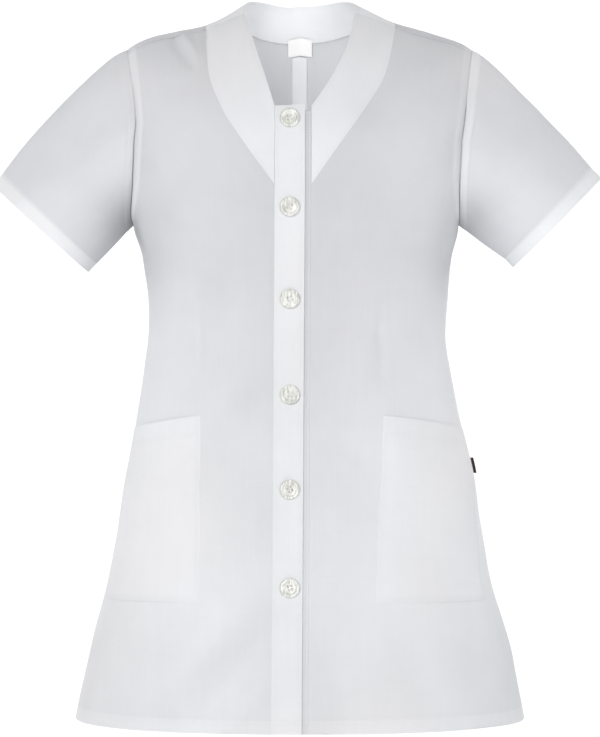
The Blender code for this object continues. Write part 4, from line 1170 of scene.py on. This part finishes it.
for side, name, node in sides:
    band = layPanel(
        lambda rows, shares: collarFrontLines(side, rows, shares),
        (0.0, topRow - armpitRow - cut["collarRow"]), (0.0, 1.0), raised=trim["proud"], lap=side > 0,
        layers=1.0, step=trim["grid"], shade=looks["bandShade"],
        seams=(("firstColumn", 0.3), ("firstRow", 0.1), ("lastRow", 0.4)),
        stitches=alongEdges(trim["edgeStitch"], "firstColumn", "lastColumn"))
    finishCloth("collarFront" + name, band, "collar_front_" + node)
    inner = "firstColumn" if side < 0 else "lastColumn"
    # the button band ends a little lower, so the hollow shows beside the upper one
    strip = layPanel(
        lambda rows, shares: placketLines(side, rows, shares),
        (0.0, armpitRow + cut["collarRow"] + (cut["collarRise"] if side < 0 else trim["underRise"])),
        (0.0, 1.0), raised=trim["proud"] if side < 0 else trim["underProud"], step=trim["grid"],
        layers=1.0 if side < 0 else 0.1, shade=looks["bandShade"], side=side,
        toned="lapped" if side > 0 else False,
        seams=((inner, 0.15),) if side < 0 else (),
        stitches=(*alongEdges(trim["edgeStitch"], "firstColumn", "lastColumn", "lastRow"),
                  ("firstRow", hem["stitch"])))
    finishCloth("placket" + name, strip, "placket_" + node)


def neckLift(columns, shares):
    up = cut["collarLift"] * np.cos(0.5 * np.pi * np.abs(columns)) * shares ** 2
    return np.stack([0.0 * up, 0.0 * up, up], axis=-1)


# painted light on the neck band
neckBand = layPanel(
    collarBackLines, (-1.0, 1.0), (0.0, 1.0), raised=trim["proud"], layers=1.0, step=trim["grid"],
    lift=neckLift, shade=-looks["neckGlow"] / looks["seamShade"],
    seams=(("firstColumn", 0.3), ("firstRow", 0.4), ("lastRow", 0.4)),
    stitches=alongEdges(trim["edgeStitch"], "firstColumn", "lastColumn"))
finishCloth("collarBack", neckBand, "collar_back")
print("bands laid")


# pockets, sleeves and what is sewn on inside

# the mouth of a pocket stands open a little
def pocketLift(rows, columns):
    up = (rows - cut["pocketFootRow"]) / (cut["pocketTopRow"] - cut["pocketFootRow"])
    across = (columns - cut["dartColumn"]) / (cut["pocketColumn"] - cut["dartColumn"])
    gape = trim["pocketMouth"] * ease((up - 0.6) / 0.4) * np.sin(np.pi * across)
    return np.stack([0.0 * gape, -gape, 0.0 * gape], axis=-1)


for side, name, node in sides:
    pocket = layPanel(
        lambda rows, columns: frontLines(side, rows, columns), (cut["pocketFootRow"], cut["pocketTopRow"]),
        (cut["dartColumn"], cut["pocketColumn"]), raised=trim["pocketRaise"], lift=pocketLift, layers=1.0,
        shade=looks["pocketShade"][side], step=trim["pocketGrid"],
        seams=alongEdges(1.0, "firstRow", "firstColumn", "lastColumn"),
        doubled=(("lastRow", trim["pocketHem"]),
                 *alongEdges(trim["pocketFold"], "firstRow", "firstColumn", "lastColumn")),
        stitches=(*alongEdges(trim["edgeStitch"], "firstRow", "firstColumn", "lastColumn"),
                  ("lastRow", trim["pocketStitch"])))
    finishCloth("pocket" + name, pocket, "pocket_" + node)

sleeveCut = {
    # upper and lower corner of the cuff, and how long the sleeve keeps its first direction
    "cuffTop": {-1: (-0.338, -0.195), 1: (0.331, -0.188)},
    "cuffFoot": {-1: (-0.233, -0.291), 1: (0.234, -0.286)},
    "lead": {-1: 0.28, 1: 0.20},
    "halfDepth": 0.050,
    "hem": 0.012,
    "hemFold": 0.0135,
    "hemStitch": 0.0124,
    "startTop": (0.91, 0.0, -0.41), # the first direction, at the shoulder and at the armpit
    "startFoot": (0.71, 0.0, -0.70),
    "smoothTop": 0.022,             # no folds this near to the armhole
    "around": 150,                  # points round the sleeve, and the way between two rings
    "grid": 0.0032,
    "samples": 300,                 # of each half of the armhole
}


# the armhole, from the armpit up the front, over the shoulder and down the back
def armholeLoop(side, count):
    samples = sleeveCut["samples"]
    turn, run = frontLines(side, np.linspace(armpitRow, topRow, samples), [cut["sideColumn"]])
    backTurn, backRun = backLines(side, np.linspace(backTopRow, armpitRow, samples), [cut["backColumns"]])
    turn = np.concatenate([turn[:, 0], backTurn[1:, 0]])
    run = np.concatenate([run[:, 0], backRun[1:, 0]])
    points = bodyPoint(turn, run)
    points = points + bodyNormal(turn, run) * clothHeight(points)[:, None]
    lengths = lengthsAlong(points, 0)
    places = np.linspace(0.0, lengths[-1], count + 1)[:-1]
    loop = np.stack([np.interp(places, lengths, points[:, k]) for k in range(3)], axis=-1)
    return loop, places, lengths[-1]


def sleeveTube(side):
    start, places, around = armholeLoop(side, sleeveCut["around"])
    top = np.argmax(start[:, 2])
    rising = math.pi * (1.0 - places / places[top])
    falling = -math.pi * (places - places[top]) / (around - places[top])
    angle = np.where(places <= places[top], rising, falling)[:, None]
    topX, topZ = sleeveCut["cuffTop"][side]
    footX, footZ = sleeveCut["cuffFoot"][side]
    centre = 0.5 * np.array([topX + footX, 0.0, topZ + footZ])
    upright = 0.5 * np.array([topX - footX, 0.0, topZ - footZ])
    axis = np.array([side * abs(upright[2]), 0.0, -abs(upright[0])])
    axis = axis / np.linalg.norm(axis)
    rim = centre + upright * np.cos(angle) + np.array([0.0, -sleeveCut["halfDepth"], 0.0]) * np.sin(angle)
    end = rim - axis * sleeveCut["hem"]
    height = (start[:, 2:] - start[0, 2]) / (start[top, 2] - start[0, 2])
    way = mix(np.array(sleeveCut["startFoot"]), np.array(sleeveCut["startTop"]), height)
    way = way * np.array([side, 1.0, 1.0])
    way = way / np.linalg.norm(way, axis=-1, keepdims=True)
    reach = np.linalg.norm(end - start, axis=-1, keepdims=True)
    bend = start + way * reach * sleeveCut["lead"][side]
    length = float(np.mean(reach))
    rings = []
    for place in spread(length + sleeveCut["hem"], sleeveCut["grid"]):
        share = min(place / length, 1.0)
        ring = mix(mix(start, bend, share), mix(bend, end, share), share)
        rings.append(ring + axis * max(place - length, 0.0))
    return np.array(rings)


for side, name, node in sides:
    tube = sleeveTube(side)
    normals = surfaceNormals(tube, True)
    if np.sum(normals * (tube - tube.mean(axis=1, keepdims=True))) < 0.0:
        normals = -normals
    # the back of a sleeve has the folds of the other sleeve's front
    folds = np.where(tube[..., 1] < 0.0, foldHeight(tube, drape["sleeveFolds"]),
                     foldHeight(tube * (-1.0, 1.0, 1.0), drape["sleeveFolds"]))
    depth = ease(lengthsAlong(tube, 0) / sleeveCut["smoothTop"])
    # painted shade on the cloth under the arm, which lies over the dark of the armhole, and painted light on
    # the whole sleeve
    away, (rootX, rootZ) = np.abs(tube[..., 0]), looks["rootPlace"]
    endX, fade = looks["underArmEnd"]
    shade = ease(looks["underArmTurn"] - normals[..., 2]) * ease((endX - away) / fade)
    root = np.hypot(away - rootX, tube[..., 2] - rootZ) / looks["rootReach"]
    dark = looks["rootShade"][side] * np.exp(-root ** 2) - looks["sleeveGlow"][side]
    sleeve = shapeCloth(
        tube, normals, (folds + rippleHeight(tube)) * depth, ring=True,
        seams=(("firstRow", 1.0), ("firstColumn", 0.8), ("lastColumn", 0.8)),
        ridges=(("firstRow", 0.10 if side < 0 else 0.60),),
        shade=looks["underArmShade"][side] * shade + dark / looks["seamShade"],
        doubled=(("lastRow", sleeveCut["hemFold"]),), stitches=(("lastRow", sleeveCut["hemStitch"]),))
    finishCloth("sleeve" + name, sleeve, "sleeve_" + node)
print("pockets and sleeves laid")

inside = {
    "stripX": (-0.009, 0.008),
    # painted light on the strip of the centre back seam
    "stripShade": -2.0,             # several layers of cloth look brighter
    "stripZ": (-0.762, -0.0435),
    "stripRaise": -0.0010,
    "stripGrid": 0.0030,
    "stripStitch": 0.0016,
    "labelX": (-0.014, 0.014),
    "labelZ": (-0.042, -0.023),
    "labelRaise": -0.0026,
    "labelCloth": 0.0004,
    "labelGrid": 0.0015,
    "labelStitch": 0.0011,
    "tagZ": (-0.512, -0.495),
    "tagReach": 0.0062,
    "tagCloth": 0.0016,
    "tagLayer": 0.00055,
    "tagGap": 0.0003,
    "tagCurl": 0.0006,
}


def innerLines(xRange, zRange):
    def lines(rows, columns):
        run = backRunAt(0.0, mix(*zRange, np.asarray(rows, float)))[:, None]
        x = mix(*xRange, np.asarray(columns, float))[None, :]
        return turnAt(x, run, False), run * np.ones(x.shape)
    return lines


# stitches that show on the inner face of a piece
def addInnerStitches(piece, edges, way, depth):
    for edge in edges:
        line, ups = lineNear(piece, edge, way)
        lengths = lengthsAlong(line, 0)
        keep = (lengths > way) & (lengths < lengths[-1] - way)
        stitchRuns.append((line[keep] - ups[keep] * depth, -ups[keep]))


felled = layPanel(innerLines(inside["stripX"], inside["stripZ"]), (0.0, 1.0), (0.0, 1.0),
                  raised=inside["stripRaise"], layers=1.0, step=inside["stripGrid"],
                  shade=inside["stripShade"])
finishCloth("centreBackSeam", felled, "centre_back_seam")
addInnerStitches(felled, edgeNames[:2], inside["stripStitch"], clothMake["thickness"])

label = layPanel(innerLines(inside["labelX"], inside["labelZ"]), (0.0, 1.0), (0.0, 1.0),
                 raised=inside["labelRaise"], step=inside["labelGrid"])
handIn(shellObject("neckLabel", label, inside["labelCloth"], labelSatin),
       "neck_label")
addInnerStitches(label, edgeNames, inside["labelStitch"], inside["labelCloth"])


# a tape folded in two, open at its ends in the side seam
def sideTag():
    half = 0.5 * inside["tagCloth"]
    thin = half - inside["tagLayer"]
    fold = inside["tagReach"] - half
    arc = [math.pi * (k / 8 - 0.5) for k in range(9)]

    def bentLine(reach, way):
        bend = [(fold + reach * math.cos(a), way * reach * math.sin(a)) for a in arc]
        start, end = -way * reach, way * reach
        return [(0.0, start), (0.5 * fold, start)] + bend + [(0.5 * fold, end), (0.0, end)]

    outer = bentLine(half, 1.0)
    outline = outer + bentLine(thin, -1.0)
    around = np.concatenate([[0.0], np.cumsum(np.linalg.norm(np.diff(np.array(outline), axis=0), axis=1))])
    points, uv, faces = [], [], []
    heights = np.linspace(*inside["tagZ"], 14)
    for z in heights:
        root = bodyPoint(90.0, z - chestZ) + bodyNormal(90.0, z - chestZ) * inside["tagGap"]
        curl = inside["tagCurl"] * math.sin(math.pi * (z - heights[0]) / (heights[-1] - heights[0]))
        for (out, across), way in zip(outline, around):
            points.append(root + np.array([out, across - curl * (out / inside["tagReach"]) ** 2, 0.0]))
            uv.append((way, z))
    count = len(outline)
    for row in range(len(heights) - 1):
        for k in range(count):
            a, b = row * count + k, row * count + (k + 1) % count
            faces.append((a, b, b + count, a + count))
    top = (len(heights) - 1) * count
    for k in range(len(outer) - 1):
        cap = (k, k + 1, count - 2 - k, count - 1 - k)
        faces.append(cap[::-1])
        faces.append(tuple(top + c for c in cap))
    corners = [uv[k] for face in faces for k in face]
    handIn(meshObject("sideTag", points, faces, tagTape, corners), "side_tag")


sideTag()
print("label and tag sewn in")


# buttons

buttons = {
    "x": -0.0105,
    "z": (-0.131, -0.226, -0.323, -0.4245, -0.525, -0.628),
    "raise": 0.0007,
    "radius": 0.0105,
    # from the middle of the face out over the rim to the back: (share of radius, height)
    "profile": (
        (0.0, 0.00150), (0.20, 0.00150), (0.45, 0.00155), (0.58, 0.00165), (0.68, 0.00215),
        (0.76, 0.00255), (0.84, 0.00268), (0.91, 0.00250), (0.965, 0.00205), (1.0, 0.00150),
        (0.985, 0.00085), (0.90, 0.00030), (0.72, 0.0), (0.30, 0.0), (0.0, 0.0)),
    "holeAway": 0.0019,
    "holeRadius": 0.00095,
    "holeDepth": 0.0013,
    "turns": (8.0, -14.0, 22.0, -6.0, 31.0, 12.0),      # degrees, no two sewn on alike
    "tilts": ((1.5, -2.0), (-2.0, 1.0), (1.0, 2.0), (-6.0, 5.0), (2.0, -1.0), (-1.0, -2.0)),
    "sides": 64,
    "threadSteps": 12,
    "threadSides": 6,
    "threadRadius": 0.00019,
    "threadApart": 0.00028,
}


def buttonSeat(z):
    run = float(frontRunAt(buttons["x"], z))
    turn = turnAt(buttons["x"], run)
    point, normal = bodyPoint(turn, run), bodyNormal(turn, run)
    return point + normal * (buttons["raise"] + float(clothHeight(point))), normal


def buttonFrame(k):
    point, normal = buttonSeat(buttons["z"][k])
    turn = Vector(normal).to_track_quat("Z", "Y").to_matrix().to_4x4()
    spin = Matrix.Rotation(math.radians(buttons["turns"][k]), 4, "Z")
    lean = Matrix.Rotation(math.radians(buttons["tilts"][k][0]), 4, "X")
    lean = lean @ Matrix.Rotation(math.radians(buttons["tilts"][k][1]), 4, "Y")
    stand = Matrix.Translation((0.0, 0.0, 0.0002))
    return Matrix.Translation(Vector(point)) @ turn @ stand @ lean @ spin


def buttonHeight(x, y, height):
    away = math.hypot(abs(x) - buttons["holeAway"], abs(y) - buttons["holeAway"]) / buttons["holeRadius"]
    return height - buttons["holeDepth"] * float(ease(1.0 - (min(away, 2.0) - 0.8) / 0.4))


def makeButton(k):
    frameOf, count, profile = buttonFrame(k), buttons["sides"], buttons["profile"]
    rings = []
    for (inner, low), (outer, high) in zip(profile, profile[1:]):
        steps = 10 if outer <= 0.45 and outer > inner else 2        # finer round the holes
        rings += [(mix(inner, outer, s / steps), mix(low, high, s / steps)) for s in range(steps)]
    rings = rings[1:]
    points = [Vector((0.0, 0.0, profile[0][1]))]
    for share, height in rings:
        holed = height > 0.0012 and share < 0.5
        for side in range(count):
            angle = 2.0 * math.pi * side / count
            x, y = share * buttons["radius"] * math.cos(angle), share * buttons["radius"] * math.sin(angle)
            points.append(Vector((x, y, buttonHeight(x, y, height) if holed else height)))
    points.append(Vector((0.0, 0.0, 0.0)))
    faces = []
    last = 1 + (len(rings) - 1) * count
    for side in range(count):
        after = (side + 1) % count
        faces += [(0, 1 + side, 1 + after), (last + after, last + side, len(points) - 1)]
        for ring in range(len(rings) - 1):
            a, b = 1 + ring * count + side, 1 + ring * count + after
            faces.append((a, a + count, b + count, b))
    button = meshObject("button" + str(k + 1), [frameOf @ p for p in points], faces, pearl)
    handIn(button, "button_" + str(k + 1))


# a strand from hole to hole, as points in the button's own frame
def threadLine(row, strand):
    line = []
    for s in range(buttons["threadSteps"] + 1):
        share = s / buttons["threadSteps"]
        bow = math.sin(math.pi * share)
        x = mix(-1.0, 1.0, share) * buttons["holeAway"]
        y = row * buttons["holeAway"] + strand * buttons["threadApart"] * (0.6 + 0.4 * bow)
        rise = 0.0016 - 0.0010 * (2.0 * share - 1.0) ** 6 + 0.0002 * bow
        line.append(Vector((x, y, rise + (0.0001 if strand == 0 else 0.0))))
    return line


# two bars of thread between the holes of each button
def buttonThread():
    points, faces = [], []
    count, last = buttons["threadSides"], buttons["threadSteps"]
    across = Vector((0.0, 1.0, 0.0))
    for k in range(len(buttons["z"])):
        frameOf = buttonFrame(k)
        for row in (-1, 1):
            for strand in (-1, 0, 1):
                line, base = threadLine(row, strand), len(points)
                for s, point in enumerate(line):
                    up = (line[min(s + 1, last)] - line[max(s - 1, 0)]).normalized().cross(across)
                    for side in range(count):
                        angle = 2.0 * math.pi * side / count
                        out = across * math.cos(angle) + up * math.sin(angle)
                        points.append(frameOf @ (point + out * buttons["threadRadius"]))
                for s in range(last):
                    for side in range(count):
                        a, b = base + s * count + side, base + s * count + (side + 1) % count
                        faces.append((a, b, b + count, a + count))
                faces.append(tuple(range(base + count - 1, base - 1, -1)))
                faces.append(tuple(range(base + last * count, base + (last + 1) * count)))
    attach(meshObject("buttonThread", points, faces, thread), "root")


for k in range(len(buttons["z"])):
    makeButton(k)
buttonThread()
print("buttons sewn on")


# topstitching

stitching = {
    "pitch": 0.0031,
    "length": 0.0025,
    "width": 0.00048,
    "height": 0.00034,
    "wander": 0.00008,
    "seed": 5,
}


def stitchTree():
    tree = bpy.data.node_groups.new("topstitch", "GeometryNodeTree")
    kinds = {"Geometry": "NodeSocketGeometry", "seed": "NodeSocketInt"}
    for key in ("Geometry", *stitching):
        tree.interface.new_socket(key, in_out="INPUT", socket_type=kinds.get(key, "NodeSocketFloat"))
    tree.interface.new_socket("Geometry", in_out="OUTPUT", socket_type="NodeSocketGeometry")
    given = addNode(tree, "NodeGroupInput").outputs
    line = addNode(tree, "GeometryNodeMeshToCurve", {"Mesh": given["Geometry"]}).outputs["Curve"]
    even = addNode(tree, "GeometryNodeResampleCurve", {
        "Curve": line, "Length": given["pitch"]}, mode="LENGTH")
    # each stitch lies along the line and flat on the cloth
    tangent = addNode(tree, "GeometryNodeInputTangent").outputs["Tangent"]
    up = addNode(tree, "GeometryNodeInputNamedAttribute", {"Name": "up"}, data_type="FLOAT_VECTOR")
    along = addNode(tree, "FunctionNodeAlignRotationToVector", {"Vector": tangent}, axis="X")
    flat = addNode(tree, "FunctionNodeAlignRotationToVector", {
        "Rotation": along.outputs["Rotation"], "Vector": up.outputs["Attribute"]}, axis="Z", pivot_axis="X")
    shift = addNode(tree, "FunctionNodeRandomValue", {
        "Min": doMath(tree, "MULTIPLY", given["wander"], -1.0), "Max": given["wander"],
        "Seed": given["seed"]}, data_type="FLOAT_VECTOR")
    moved = addNode(tree, "GeometryNodeSetPosition", {
        "Geometry": even.outputs["Curve"], "Offset": shift.outputs["Value"]})
    ball = addNode(tree, "GeometryNodeMeshUVSphere", {"Segments": 6, "Rings": 5, "Radius": 0.5})
    size = addNode(tree, "ShaderNodeCombineXYZ", {
        "X": given["length"], "Y": given["width"], "Z": given["height"]})
    placed = addNode(tree, "GeometryNodeInstanceOnPoints", {
        "Points": moved.outputs["Geometry"], "Instance": ball.outputs["Mesh"],
        "Rotation": flat.outputs["Rotation"], "Scale": size.outputs["Vector"]})
    real = addNode(tree, "GeometryNodeRealizeInstances", {"Geometry": placed.outputs["Instances"]})
    painted = addNode(tree, "GeometryNodeSetMaterial", {
        "Geometry": real.outputs["Geometry"], "Material": thread})
    addNode(tree, "NodeGroupOutput", {"Geometry": painted.outputs["Geometry"]})
    return tree


def sewStitches(name, runs):
    points = np.concatenate([line for line, _ in runs])
    ups = np.concatenate([up for _, up in runs])
    edges, base = [], 0
    for line, _ in runs:
        edges += [(base + k, base + k + 1) for k in range(len(line) - 1)]
        base += len(line)
    mesh = bpy.data.meshes.new(name + "Lines")
    mesh.from_pydata([tuple(p) for p in points], edges, [])
    normals = mesh.attributes.new("up", "FLOAT_VECTOR", "POINT")
    normals.data.foreach_set("vector", ups.astype(np.float32).ravel())
    lines = addObject(name + "Lines", mesh)
    modifier = lines.modifiers.new("topstitch", "NODES")
    modifier.node_group = stitchTree()
    for item in modifier.node_group.interface.items_tree:
        if item.in_out == "INPUT" and item.name in stitching:
            modifier[item.identifier] = stitching[item.name]
    graph = bpy.context.evaluated_depsgraph_get()
    graph.update()
    made = bpy.data.meshes.new_from_object(lines.evaluated_get(graph), depsgraph=graph)
    lines.modifiers.clear()
    bpy.data.objects.remove(lines, do_unlink=True)
    made.name = name
    made.shade_smooth()
    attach(addObject(name, made), "root")
    print(name, len(made.polygons), "faces")


sewStitches("topstitching", stitchRuns)
